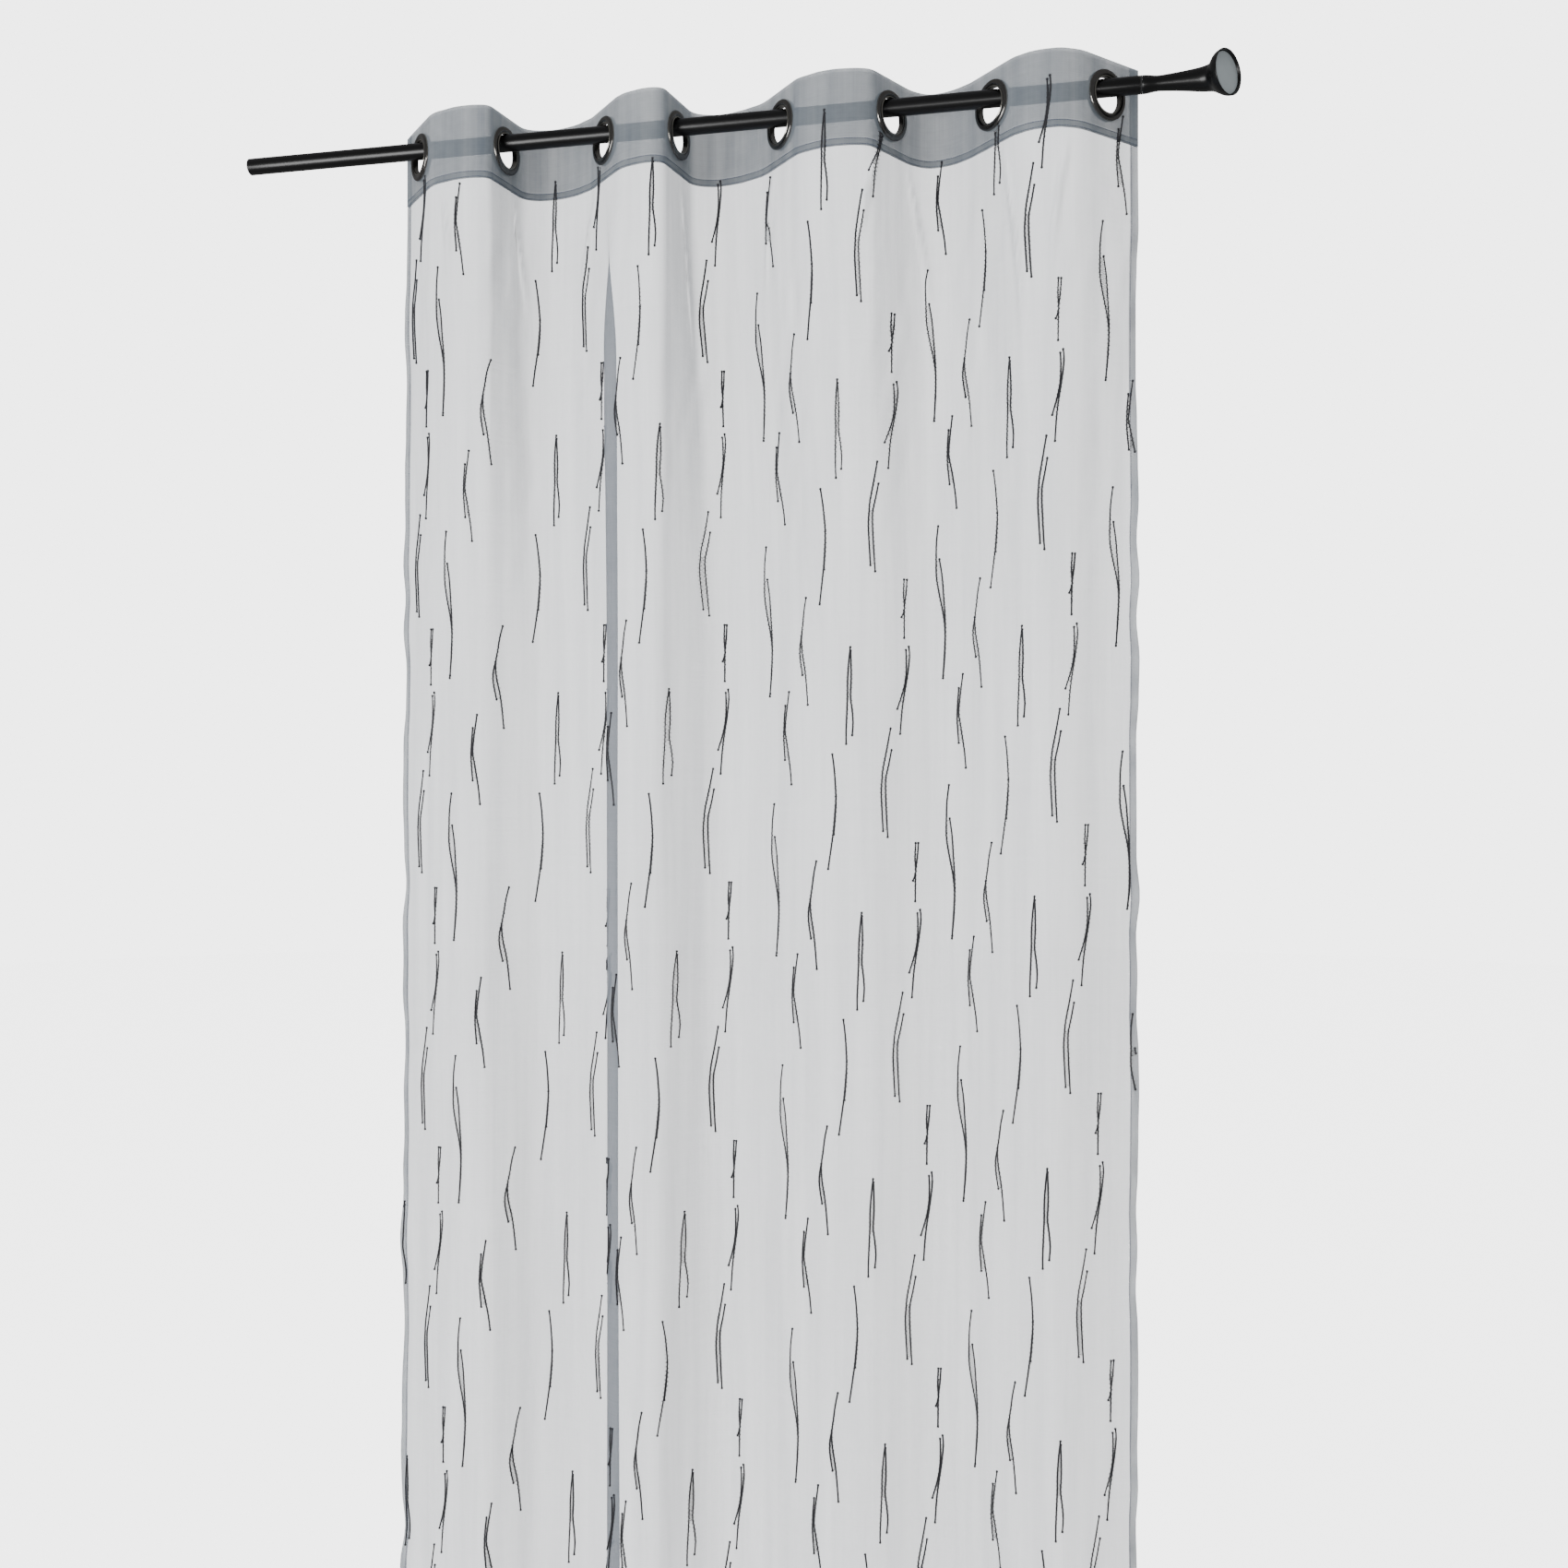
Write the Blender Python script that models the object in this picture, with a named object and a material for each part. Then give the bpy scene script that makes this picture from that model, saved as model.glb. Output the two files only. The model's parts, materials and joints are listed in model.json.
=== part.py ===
"""A sheer eyelet curtain on a round rod that ends in a flared finial.

Metres, +Z up. The rod runs along X with its axis through the origin, which is at the middle of its
length. -Y is the room side. The cloth waves in front of and behind the rod, through its eyelets.
"""

import math

import bmesh
import bpy
from mathutils import Matrix, Vector

CLEARANCE = 0.0003

# Rod: a round steel tube
ROD_LENGTH = 1.105
ROD_RADIUS = 0.010
ROD_WALL = 0.0012
ROD_SIDES = 32

# Eyelets: two halves that snap together through the cloth
EYELET_HOLE_RADIUS = 0.020
EYELET_RIM_RADIUS = 0.0285
EYELET_BARREL_WALL = 0.0016
EYELET_RIM_HEIGHT = 0.0032
EYELET_LIP_HEIGHT = 0.0017
EYELET_SIDES = 20

# How the curtain hangs: the mean distance between eyelets, each gap's share of it, and how far
# each eyelet is turned out of the rod's line, in degrees
EYELET_PITCH = 0.119
GAP_SHARES = (0.934, 1.076, 0.766, 1.071, 1.090, 0.993, 1.071)
EYELET_TURNS = (46, 80, 46, 80, 47, 62, 46, 48)
LEAST_DROP = 0.002
LAST_EYELET_TO_ROD_END = 0.0376
FRONT_FOLD_DEPTH = 0.040
BACK_FOLD_DEPTH = 0.050
FOLD_STEPS = 8

# Cloth
DROP = 2.40
HEADER_HEIGHT = 0.088
TOP_ABOVE_EYELET = 0.042
EDGE_BEYOND_EYELET = 0.052
FLAT_AT_EYELET = 0.030
SIDE_HEM_WIDTH = 0.013
BOTTOM_HEM_HEIGHT = 0.060
CLOTH_THICKNESS = 0.0008
TAPE_THICKNESS = 0.0008
TAPE_MARGIN = 0.004

# Finial: a horn that bends at its end, so that its mouth is turned towards the room, with a
# plate in the mouth. Its tail is as wide as the rod and narrows to the neck. The shares are of the
# horn's length: where it narrows, where it bends and where it flares.
HORN_LENGTH = 0.0955
HORN_NECK_RADIUS = 0.0076
HORN_SWELL = 0.0105
HORN_SWELL_POWER = 1.7
HORN_MOUTH_RADIUS = 0.0255
HORN_MOUTH_TURN = 36
HORN_TAIL = (0.0, 0.20)
HORN_BEND = (0.60, 0.92)
HORN_FLARE = (0.76, 0.97)
HORN_STATIONS = 20
HORN_SIDES = 32
HORN_LIP = 0.0015
MOUTH_DEPTH = 0.0040
MOUTH_TAPER = 0.0006
PLATE_THICKNESS = 0.0012

# Finial fixing: a plug that slides into the rod, held to the horn by a screw
PLUG_LENGTH = 0.030
PLUG_FLANGE = 0.0020
PLUG_SIDES = 24
SCREW_RADIUS = 0.0020
SCREW_DEPTH = 0.016
SCREW_HEAD_RADIUS = 0.0040
SCREW_HEAD_HEIGHT = 0.0028

ROD_BORE = ROD_RADIUS - ROD_WALL
PLUG_RADIUS = ROD_BORE - CLEARANCE
STACK = CLOTH_THICKNESS + TAPE_THICKNESS + CLEARANCE
EYELET_SEAT = STACK / 2 + CLEARANCE
HALF_BORE = EYELET_SEAT + EYELET_LIP_HEIGHT
BARREL_RADIUS = EYELET_HOLE_RADIUS + EYELET_BARREL_WALL


def clear_scene():
    for item in list(bpy.data.objects):
        bpy.data.objects.remove(item, do_unlink=True)


def material(name, color, roughness, metallic=0.0):
    made = bpy.data.materials.new(name)
    made.use_nodes = True
    shader = made.node_tree.nodes["Principled BSDF"]
    shader.inputs["Base Color"].default_value = (*color, 1.0)
    shader.inputs["Roughness"].default_value = roughness
    shader.inputs["Metallic"].default_value = metallic
    return made


def add_object(name, mesh_data, finish, sharp_angle=40):
    """Turn a bmesh into a named object with its faces pointing out."""
    bmesh.ops.recalc_face_normals(mesh_data, faces=mesh_data.faces)
    mesh = bpy.data.meshes.new(name)
    mesh_data.to_mesh(mesh)
    mesh_data.free()
    mesh.shade_smooth()
    mesh.set_sharp_from_angle(angle=math.radians(sharp_angle))
    mesh.materials.append(finish)
    made = bpy.data.objects.new(name, mesh)
    bpy.context.scene.collection.objects.link(made)
    return made


def around(radius, sides, place):
    """Points of a circle about the local X axis, moved by the matrix place."""
    turns = (2 * math.pi * i / sides for i in range(sides))
    return [place @ Vector((0, radius * math.cos(a), radius * math.sin(a))) for a in turns]


def loft(rings, closed):
    """Skin a list of equal rings of points. A ring of one point is a pole."""
    body = bmesh.new()
    made = [[body.verts.new(point) for point in ring] for ring in rings]
    pairs = list(zip(made, made[1:]))
    if closed:
        pairs.append((made[-1], made[0]))
    for lower, upper in pairs:
        count = max(len(lower), len(upper))
        for i in range(count):
            j = (i + 1) % count
            corners = [lower[i % len(lower)], lower[j % len(lower)]]
            corners += [upper[j % len(upper)], upper[i % len(upper)]]
            face = list(dict.fromkeys(corners))
            body.faces.new(face)
    return body


def turned(profile, sides, place=Matrix(), closed=False):
    """Revolve (distance along, radius) points about the local X axis."""
    rings = []
    for along, radius in profile:
        spot = place @ Matrix.Translation((along, 0, 0))
        rings.append(around(radius, sides, spot) if radius > 0 else [spot.translation.copy()])
    return loft(rings, closed)


def outside(radius, sides):
    """Corner radius of a polygon whose flats, not corners, lie on the radius."""
    return radius / math.cos(math.pi / sides)


# The hanging line: where each eyelet is and how the cloth runs between them


def eyelet_places():
    """X of each eyelet, counted back from the last one, beside the rod's end."""
    last = ROD_LENGTH / 2 - LAST_EYELET_TO_ROD_END
    back = [0.0]
    for share in reversed(GAP_SHARES):
        back.append(back[-1] + share * EYELET_PITCH)
    return [last - distance for distance in reversed(back)]


def eyelet_turn(index):
    """An eyelet's turn. It is wide enough for its bore to hang on the rod without jamming."""
    turn = math.radians(EYELET_TURNS[index])
    while hang_drop(turn) < LEAST_DROP:
        turn += math.radians(0.5)
    return turn


def cloth_direction(index):
    """Unit direction of the cloth at an eyelet, seen from above: out, back, out, back..."""
    turn = eyelet_turn(index)
    side = -1 if index % 2 == 0 else 1
    return Vector((math.cos(turn), side * math.sin(turn)))


def hang_drop(turn):
    """How far the eyelet's centre hangs below the rod's axis, with the rod in the top of its bore.

    The bore is a short tube that is turned from the rod's line, so the rod meets it either at the
    top or at two sides. The drop is the largest one that leaves the clearance all round.
    """
    half_width = ROD_RADIUS / math.sin(turn)
    shift = HALF_BORE / math.tan(turn)
    drops = []
    for degree in range(91):
        angle = math.radians(degree)
        across = shift + half_width * math.cos(angle)
        room = EYELET_HOLE_RADIUS ** 2 - across ** 2
        drops.append(math.sqrt(max(room, 0)) - ROD_RADIUS * math.sin(angle))
    return min(drops) - CLEARANCE / math.sin(turn)


def eyelet_frame(index):
    """Matrix of an eyelet: local X points out of the cloth's back, local Z is up."""
    along = cloth_direction(index)
    drop = hang_drop(eyelet_turn(index))
    normal = Vector((-along.y, along.x, 0))
    across = Vector((-along.x, -along.y, 0))
    centre = Vector((EYELET_PLACES[index], 0, -drop))
    turn = Matrix((normal, across, (0, 0, 1))).transposed()
    return Matrix.Translation(centre) @ turn.to_4x4()


def fold_curve(start, start_way, end, end_way, depth):
    """Cloth between two eyelets: one bezier, with handles that take it out to the fold's depth."""
    lean = abs(start_way.y) + abs(end_way.y)
    reach = (depth - (abs(start.y) + abs(end.y)) / 2) / (0.375 * lean)
    handle = max(reach, 0.006)
    first = start + start_way * handle
    second = end - end_way * handle
    points = []
    for step in range(1, FOLD_STEPS):
        t = step / FOLD_STEPS
        s = 1 - t
        points.append(start * s ** 3 + first * 3 * s * s * t + second * 3 * s * t * t + end * t ** 3)
    return points


def hanging_line():
    """Plan of the whole cloth from edge to edge, as (x, y) points at the middle of its layers."""
    line = []
    count = len(EYELET_PLACES)
    for index in range(count):
        centre = Vector((EYELET_PLACES[index], 0))
        way = cloth_direction(index)
        reach_back = EDGE_BEYOND_EYELET if index == 0 else FLAT_AT_EYELET
        reach_on = EDGE_BEYOND_EYELET if index == count - 1 else FLAT_AT_EYELET
        line += [centre - way * reach_back, centre + way * reach_on]
        if index < count - 1:
            next_way = cloth_direction(index + 1)
            next_start = Vector((EYELET_PLACES[index + 1], 0)) - next_way * FLAT_AT_EYELET
            depth = FRONT_FOLD_DEPTH if index % 2 == 0 else BACK_FOLD_DEPTH
            line += fold_curve(line[-1], way, next_start, next_way, depth)
    return line


def cut_line(line, start, end):
    """The stretch of a line between two distances along it."""
    kept = []
    travelled = 0.0
    for a, b in zip(line, line[1:]):
        length = (b - a).length
        for distance in (start, end):
            if travelled < distance < travelled + length:
                kept.append((distance, a.lerp(b, (distance - travelled) / length)))
        if start <= travelled <= end:
            kept.append((travelled, a))
        travelled += length
    if end >= travelled:
        kept.append((travelled, line[-1]))
    kept.sort(key=lambda item: item[0])
    return [point for _, point in kept]


def line_length(line):
    return sum((b - a).length for a, b in zip(line, line[1:]))


def offset_line(line, distance):
    """The line moved sideways, to its back for a positive distance."""
    moved = []
    for i, point in enumerate(line):
        before = (point - line[i - 1]).normalized() if i > 0 else None
        after = (line[i + 1] - point).normalized() if i < len(line) - 1 else None
        first = before or after
        second = after or before
        bisector = (first + second).normalized()
        stretch = 1 / max(bisector.dot(first), 0.5)
        moved.append(point + Vector((-bisector.y, bisector.x)) * distance * stretch)
    return moved


def cloth_strip(name, line, near, far, bottom, top, finish):
    """A closed strip of cloth that stands between two heights and two offsets from the line."""
    sections = []
    for front, back in zip(offset_line(line, near), offset_line(line, far)):
        corners = ((front, bottom), (back, bottom), (back, top), (front, top))
        sections.append([Vector((p.x, p.y, z)) for p, z in corners])
    body = bmesh.new()
    made = [[body.verts.new(point) for point in section] for section in sections]
    for lower, upper in zip(made, made[1:]):
        for i in range(4):
            j = (i + 1) % 4
            body.faces.new((lower[i], lower[j], upper[j], upper[i]))
    body.faces.new(made[0])
    body.faces.new(made[-1])
    return add_object(name, body, finish)


# Pieces


def make_rod(finish):
    half = ROD_LENGTH / 2
    bore = outside(ROD_BORE, ROD_SIDES)
    profile = [(-half, bore), (-half, ROD_RADIUS), (half, ROD_RADIUS), (half, bore)]
    add_object("rod_tube", turned(profile, ROD_SIDES, closed=True), finish)


def ramp(share, ends):
    """Smooth step from 0 to 1 between two shares."""
    x = min(max((share - ends[0]) / (ends[1] - ends[0]), 0), 1)
    return x * x * (3 - 2 * x)


def horn_radius(share):
    tail = (ROD_RADIUS - HORN_NECK_RADIUS) * (1 - ramp(share, HORN_TAIL))
    flare = HORN_MOUTH_RADIUS - HORN_NECK_RADIUS - HORN_SWELL
    swell = HORN_SWELL * share ** HORN_SWELL_POWER
    return HORN_NECK_RADIUS + tail + swell + flare * ramp(share, HORN_FLARE)


def horn_turn(share):
    return math.radians(HORN_MOUTH_TURN) * ramp(share, HORN_BEND)


def finial_start():
    return ROD_LENGTH / 2 + CLEARANCE + PLUG_FLANGE + CLEARANCE


def horn_frame(share):
    """Matrix on the horn's middle line, which bends: local X runs along it, towards the mouth."""
    steps = 80
    centre = Vector((finial_start(), 0, 0))
    for step in range(steps):
        turn = horn_turn(share * (step + 0.5) / steps)
        centre += Vector((math.cos(turn), -math.sin(turn), 0)) * HORN_LENGTH * share / steps
    return Matrix.Translation(centre) @ Matrix.Rotation(-horn_turn(share), 4, "Z")


def make_horn(finish):
    """The horn: a blind screw hole in its tail, a flared wall, a rolled lip and a recessed floor."""
    tail = horn_frame(0)
    hole = outside(SCREW_RADIUS + CLEARANCE, HORN_SIDES)
    depth = tail @ Matrix.Translation((SCREW_DEPTH + CLEARANCE, 0, 0))
    rings = [[depth.translation.copy()], around(hole, HORN_SIDES, depth)]
    rings += [around(hole, HORN_SIDES, tail)]
    for station in range(HORN_STATIONS):
        share = 1 - (1 - station / (HORN_STATIONS - 1)) ** 1.7
        rings.append(around(horn_radius(share), HORN_SIDES, horn_frame(share)))
    mouth = horn_frame(1)
    inner = HORN_MOUTH_RADIUS - HORN_LIP
    roll = HORN_LIP / 2
    section = [(roll, HORN_MOUTH_RADIUS - roll), (0, inner), (-MOUTH_DEPTH, inner - MOUTH_TAPER)]
    for along, radius in section:
        rings.append(around(radius, HORN_SIDES, mouth @ Matrix.Translation((along, 0, 0))))
    rings.append([mouth @ Vector((-MOUTH_DEPTH, 0, 0))])
    add_object("finial_horn", loft(rings, closed=False), finish)


def make_face_plate(finish):
    back = -MOUTH_DEPTH + CLEARANCE
    front = back + PLATE_THICKNESS
    floor_radius = HORN_MOUTH_RADIUS - HORN_LIP - MOUTH_TAPER
    radius = floor_radius * math.cos(math.pi / HORN_SIDES) - CLEARANCE
    profile = [(back, 0), (back, radius), (front, radius), (front, 0)]
    add_object("finial_face_plate", turned(profile, HORN_SIDES, horn_frame(1)), finish)


def make_plug(finish):
    """The plug in the rod's end, with a flange between the rod and the horn's neck."""
    hole = outside(SCREW_RADIUS + CLEARANCE, PLUG_SIDES)
    flange = ROD_LENGTH / 2 + CLEARANCE
    tail = ROD_LENGTH / 2 - PLUG_LENGTH
    profile = [
        (tail, hole),
        (tail, PLUG_RADIUS - 0.001),
        (tail + 0.003, PLUG_RADIUS),
        (flange, PLUG_RADIUS),
        (flange, ROD_RADIUS),
        (flange + PLUG_FLANGE, ROD_RADIUS),
        (flange + PLUG_FLANGE, hole),
    ]
    add_object("finial_plug", turned(profile, PLUG_SIDES, closed=True), finish)


def make_screw(finish):
    """The screw through the plug into the horn, its head inside the rod."""
    head = ROD_LENGTH / 2 - PLUG_LENGTH - CLEARANCE
    profile = [
        (head - SCREW_HEAD_HEIGHT, 0),
        (head - SCREW_HEAD_HEIGHT, SCREW_HEAD_RADIUS),
        (head, SCREW_HEAD_RADIUS),
        (head, SCREW_RADIUS),
        (finial_start() + SCREW_DEPTH, SCREW_RADIUS),
        (finial_start() + SCREW_DEPTH, 0),
    ]
    add_object("finial_screw", turned(profile, PLUG_SIDES), finish)


def rim_profile(seat, inner):
    """Rounded rim from the cloth's face out over the top and in to the inner radius."""
    top = seat + EYELET_RIM_HEIGHT
    width = EYELET_RIM_RADIUS - inner
    return [
        (seat, EYELET_RIM_RADIUS),
        (seat + 0.65 * EYELET_RIM_HEIGHT, EYELET_RIM_RADIUS - 0.12 * width),
        (top, inner + 0.52 * width),
        (seat + 0.85 * EYELET_RIM_HEIGHT, inner + 0.20 * width),
    ]


def make_eyelet(index, finish):
    """Front half with the barrel, back half that snaps over the barrel."""
    frame = eyelet_frame(index)
    hole = outside(EYELET_HOLE_RADIUS, EYELET_SIDES)
    barrel = BARREL_RADIUS
    rim = [(-along, radius) for along, radius in rim_profile(EYELET_SEAT, hole)]
    front = rim + [(-HALF_BORE, hole), (HALF_BORE, hole), (HALF_BORE, barrel), (-EYELET_SEAT, barrel)]
    name = "eyelet_%d" % (index + 1)
    add_object(name + "_front", turned(front, EYELET_SIDES, frame, closed=True), finish)
    snap = outside(barrel + CLEARANCE, EYELET_SIDES)
    back = rim_profile(EYELET_SEAT, snap)
    back += [(EYELET_SEAT + 0.6 * EYELET_RIM_HEIGHT, snap), (EYELET_SEAT, snap)]
    add_object(name + "_back", turned(back, EYELET_SIDES, frame, closed=True), finish)


def make_hole_cutter():
    """The punched holes of the header, one for each eyelet."""
    radius = outside(BARREL_RADIUS + CLEARANCE, EYELET_SIDES)
    reach = 2 * STACK
    body = bmesh.new()
    for index in range(len(EYELET_PLACES)):
        profile = [(-reach, 0), (-reach, radius), (reach, radius), (reach, 0)]
        punch = turned(profile, EYELET_SIDES, eyelet_frame(index))
        mesh = bpy.data.meshes.new("punch")
        punch.to_mesh(mesh)
        punch.free()
        body.from_mesh(mesh)
        bpy.data.meshes.remove(mesh)
    cutter = add_object("header_hole_cutter", body, material("cutter", (1, 0, 0), 0.5))
    cutter.hide_render = True
    cutter.display_type = "WIRE"
    return cutter


def punch_holes(target, cutter):
    cut = target.modifiers.new("eyelet_holes", "BOOLEAN")
    cut.operation = "DIFFERENCE"
    cut.solver = "EXACT"
    cut.object = cutter


def make_cloth(sheer, hem, tape):
    """Header with its stiffening tape, the panel below it, side hems and the bottom hem."""
    line = hanging_line()
    width = line_length(line)
    cloth_near = -STACK / 2
    cloth_far = cloth_near + CLOTH_THICKNESS
    tape_near = cloth_far + CLEARANCE
    centre_height = sum(eyelet_frame(i).translation.z for i in range(len(EYELET_PLACES)))
    top = centre_height / len(EYELET_PLACES) + TOP_ABOVE_EYELET
    header_bottom = top - HEADER_HEIGHT
    hem_top = top - DROP + BOTTOM_HEM_HEIGHT
    cutter = make_hole_cutter()

    header = cloth_strip("header_band", line, cloth_near, cloth_far, header_bottom, top, hem)
    punch_holes(header, cutter)
    inner_line = cut_line(line, SIDE_HEM_WIDTH, width - SIDE_HEM_WIDTH)
    tape_bottom = header_bottom + TAPE_MARGIN
    stiffener = cloth_strip(
        "header_tape", inner_line, tape_near, STACK / 2, tape_bottom, top - TAPE_MARGIN, tape
    )
    punch_holes(stiffener, cutter)

    panel_line = cut_line(line, SIDE_HEM_WIDTH + CLEARANCE, width - SIDE_HEM_WIDTH - CLEARANCE)
    panel_top = header_bottom - CLEARANCE
    panel_bottom = hem_top + CLEARANCE
    cloth_strip("curtain_panel", panel_line, cloth_near, cloth_far, panel_bottom, panel_top, sheer)
    left = cut_line(line, 0, SIDE_HEM_WIDTH)
    right = cut_line(line, width - SIDE_HEM_WIDTH, width)
    for name, edge in (("side_hem_left", left), ("side_hem_right", right)):
        cloth_strip(name, edge, cloth_near, STACK / 2, panel_bottom, panel_top, hem)
    cloth_strip("bottom_hem", line, cloth_near, STACK / 2, top - DROP, hem_top, hem)


clear_scene()
EYELET_PLACES = eyelet_places()
black_lacquer = material("black_lacquer", (0.012, 0.012, 0.014), 0.22, 0.3)
grey_plate = material("satin_grey_plate", (0.26, 0.30, 0.32), 0.42, 0.6)
plug_plastic = material("plug_plastic", (0.03, 0.03, 0.03), 0.5)
screw_zinc = material("zinc_plating", (0.62, 0.63, 0.64), 0.35, 1.0)
black_nickel = material("black_nickel", (0.05, 0.052, 0.058), 0.16, 1.0)
sheer_cloth = material("sheer_voile", (0.60, 0.65, 0.69), 0.8)
doubled_cloth = material("doubled_voile", (0.42, 0.47, 0.53), 0.8)
stiff_tape = material("header_stiffener", (0.72, 0.75, 0.77), 0.9)

make_rod(black_lacquer)
make_horn(black_lacquer)
make_face_plate(grey_plate)
make_plug(plug_plastic)
make_screw(screw_zinc)
for eyelet_index in range(len(EYELET_PLACES)):
    make_eyelet(eyelet_index, black_nickel)
make_cloth(sheer_cloth, doubled_cloth, stiff_tape)
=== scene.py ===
"""A sheer eyelet curtain on a black rod with a horn finial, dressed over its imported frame."""

import json
import math

import bmesh
import bpy
import numpy as np
from mathutils import Matrix, Vector


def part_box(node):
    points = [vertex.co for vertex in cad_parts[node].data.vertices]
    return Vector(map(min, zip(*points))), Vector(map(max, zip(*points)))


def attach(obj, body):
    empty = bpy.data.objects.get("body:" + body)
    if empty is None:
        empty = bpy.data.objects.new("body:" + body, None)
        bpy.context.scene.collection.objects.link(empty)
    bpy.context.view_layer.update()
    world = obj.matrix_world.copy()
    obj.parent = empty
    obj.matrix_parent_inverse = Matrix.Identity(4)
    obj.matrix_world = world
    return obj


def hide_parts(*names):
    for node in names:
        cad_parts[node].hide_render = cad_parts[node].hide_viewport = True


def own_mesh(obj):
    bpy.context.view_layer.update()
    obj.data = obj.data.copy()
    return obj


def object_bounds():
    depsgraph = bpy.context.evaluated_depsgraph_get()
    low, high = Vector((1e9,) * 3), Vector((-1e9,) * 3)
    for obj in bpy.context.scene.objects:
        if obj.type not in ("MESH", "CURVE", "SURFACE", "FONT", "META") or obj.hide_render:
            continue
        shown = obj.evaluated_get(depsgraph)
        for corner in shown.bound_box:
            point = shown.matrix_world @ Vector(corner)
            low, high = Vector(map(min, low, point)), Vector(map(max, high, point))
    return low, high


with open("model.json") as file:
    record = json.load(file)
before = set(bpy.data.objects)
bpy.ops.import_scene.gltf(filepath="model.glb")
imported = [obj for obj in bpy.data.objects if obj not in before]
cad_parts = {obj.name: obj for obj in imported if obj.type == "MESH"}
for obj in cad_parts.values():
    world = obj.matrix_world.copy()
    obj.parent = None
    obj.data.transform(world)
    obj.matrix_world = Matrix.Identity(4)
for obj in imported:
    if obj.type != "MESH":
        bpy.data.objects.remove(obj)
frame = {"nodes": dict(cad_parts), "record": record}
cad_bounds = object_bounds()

# ------------------------------
# Room: a pale floor that glows like the walls, even light all round, a wide soft box in front of
# the rod's left for its long highlight and a small low one close to the finial. The eye is level,
# below the rod and beside its right end, and turned a little to the left.


class Value:
    """One socket of a node tree, so that sums on it are written as plain arithmetic."""

    def __init__(self, nodes, socket):
        self.nodes = nodes
        self.socket = socket

    def _sum(self, operation, first, second):
        return self.nodes.add("ShaderNodeMath", {"operation": operation}, {0: first, 1: second})

    def __add__(self, other):
        return self._sum("ADD", self, other)

    __radd__ = __add__

    def __mul__(self, other):
        return self._sum("MULTIPLY", self, other)

    __rmul__ = __mul__

    def __sub__(self, other):
        return self._sum("SUBTRACT", self, other)

    def __rsub__(self, other):
        return self._sum("SUBTRACT", other, self)

    def __pow__(self, other):
        return self._sum("POWER", self, other)


class Nodes:
    """A node tree under construction."""

    def __init__(self, tree):
        self.tree = tree

    def add(self, kind, settings, sockets, out=0):
        """A new node: its settings first, then a value or a link for each socket it is given."""
        made = self.tree.nodes.new(kind)
        for name, setting in settings.items():
            if name == "stops":
                ends = made.color_ramp.elements
                for element, (place, shade) in zip(ends, setting):
                    element.position = place
                    element.color = (shade, shade, shade, 1)
            else:
                setattr(made, name, setting)
        for name, value in sockets.items():
            self.feed(made.inputs[name], value)
        return Value(self, made.outputs[out])

    def feed(self, socket, value):
        if isinstance(value, Value):
            self.tree.links.new(value.socket, socket)
        else:
            socket.default_value = value


class Finish(Nodes):
    """A material on one Principled shader."""

    def __init__(self, name, **constants):
        self.material = bpy.data.materials.new(name)
        self.material.use_nodes = True
        super().__init__(self.material.node_tree)
        self.shader = self.tree.nodes["Principled BSDF"]
        self.coat_with(**constants)

    def coat_with(self, **sockets):
        """Set or link the shader's sockets; a name is written with underscores for its spaces."""
        for name, value in sockets.items():
            socket = name.replace("_", " ").title().replace("Ior", "IOR")
            self.feed(self.shader.inputs[socket], value)

    def place(self, source="Object", scale=(1, 1, 1), centre=(0, 0, 0)):
        """Coordinates on the piece in metres, from a centre and scaled."""
        spot = self.add("ShaderNodeTexCoord", {}, {}, source)
        shift = [-c * s for c, s in zip(centre, scale)]
        return self.add("ShaderNodeMapping", {}, {"Vector": spot, "Location": shift, "Scale": scale})

    def cloud(self, place, scale, detail=3.0, roughness=0.5):
        sockets = {"Vector": place, "Scale": scale, "Detail": detail, "Roughness": roughness}
        return self.add("ShaderNodeTexNoise", {}, sockets)

    def mix(self, amount, first, second):
        """A colour between two colours."""
        sockets = {0: amount, 6: first, 7: second}
        return self.add("ShaderNodeMix", {"data_type": "RGBA"}, sockets, 2)

    def between(self, value, low, high):
        """Stretch a value so that low becomes 0 and high becomes 1."""
        stops = ((low, 0.0), (high, 1.0))
        return self.add("ShaderNodeValToRGB", {"stops": stops}, {"Fac": value})

    def relief(self, height, depth):
        """Bump of a height, depth metres deep."""
        bump = self.add("ShaderNodeBump", {}, {"Height": height, "Distance": depth, "Strength": 1.0})
        self.coat_with(normal=bump)


def colour(red, green, blue):
    return (red, green, blue, 1.0)


def put(name, mesh, finish, sharp=40):
    """A finished piece: its object sits at the origin and its place is in its mesh."""
    mesh.materials.clear()
    mesh.materials.append(finish)
    mesh.shade_smooth()
    if sharp:
        mesh.set_sharp_from_angle(angle=math.radians(sharp))
    piece = bpy.data.objects.new(name, mesh)
    bpy.context.scene.collection.objects.link(piece)
    return piece


eye_place = (0.5505, -1.8393, -0.785)
eye_turn = math.radians(12.5)
eye_lens = 36.7
eye = bpy.data.objects.new("eye", bpy.data.cameras.new("eye"))
eye.location = eye_place
eye.rotation_euler = (math.radians(90), 0, eye_turn)
eye.data.lens = eye_lens
eye.data.clip_end = 60
bpy.context.scene.collection.objects.link(eye)
bpy.context.scene.camera = eye

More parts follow.
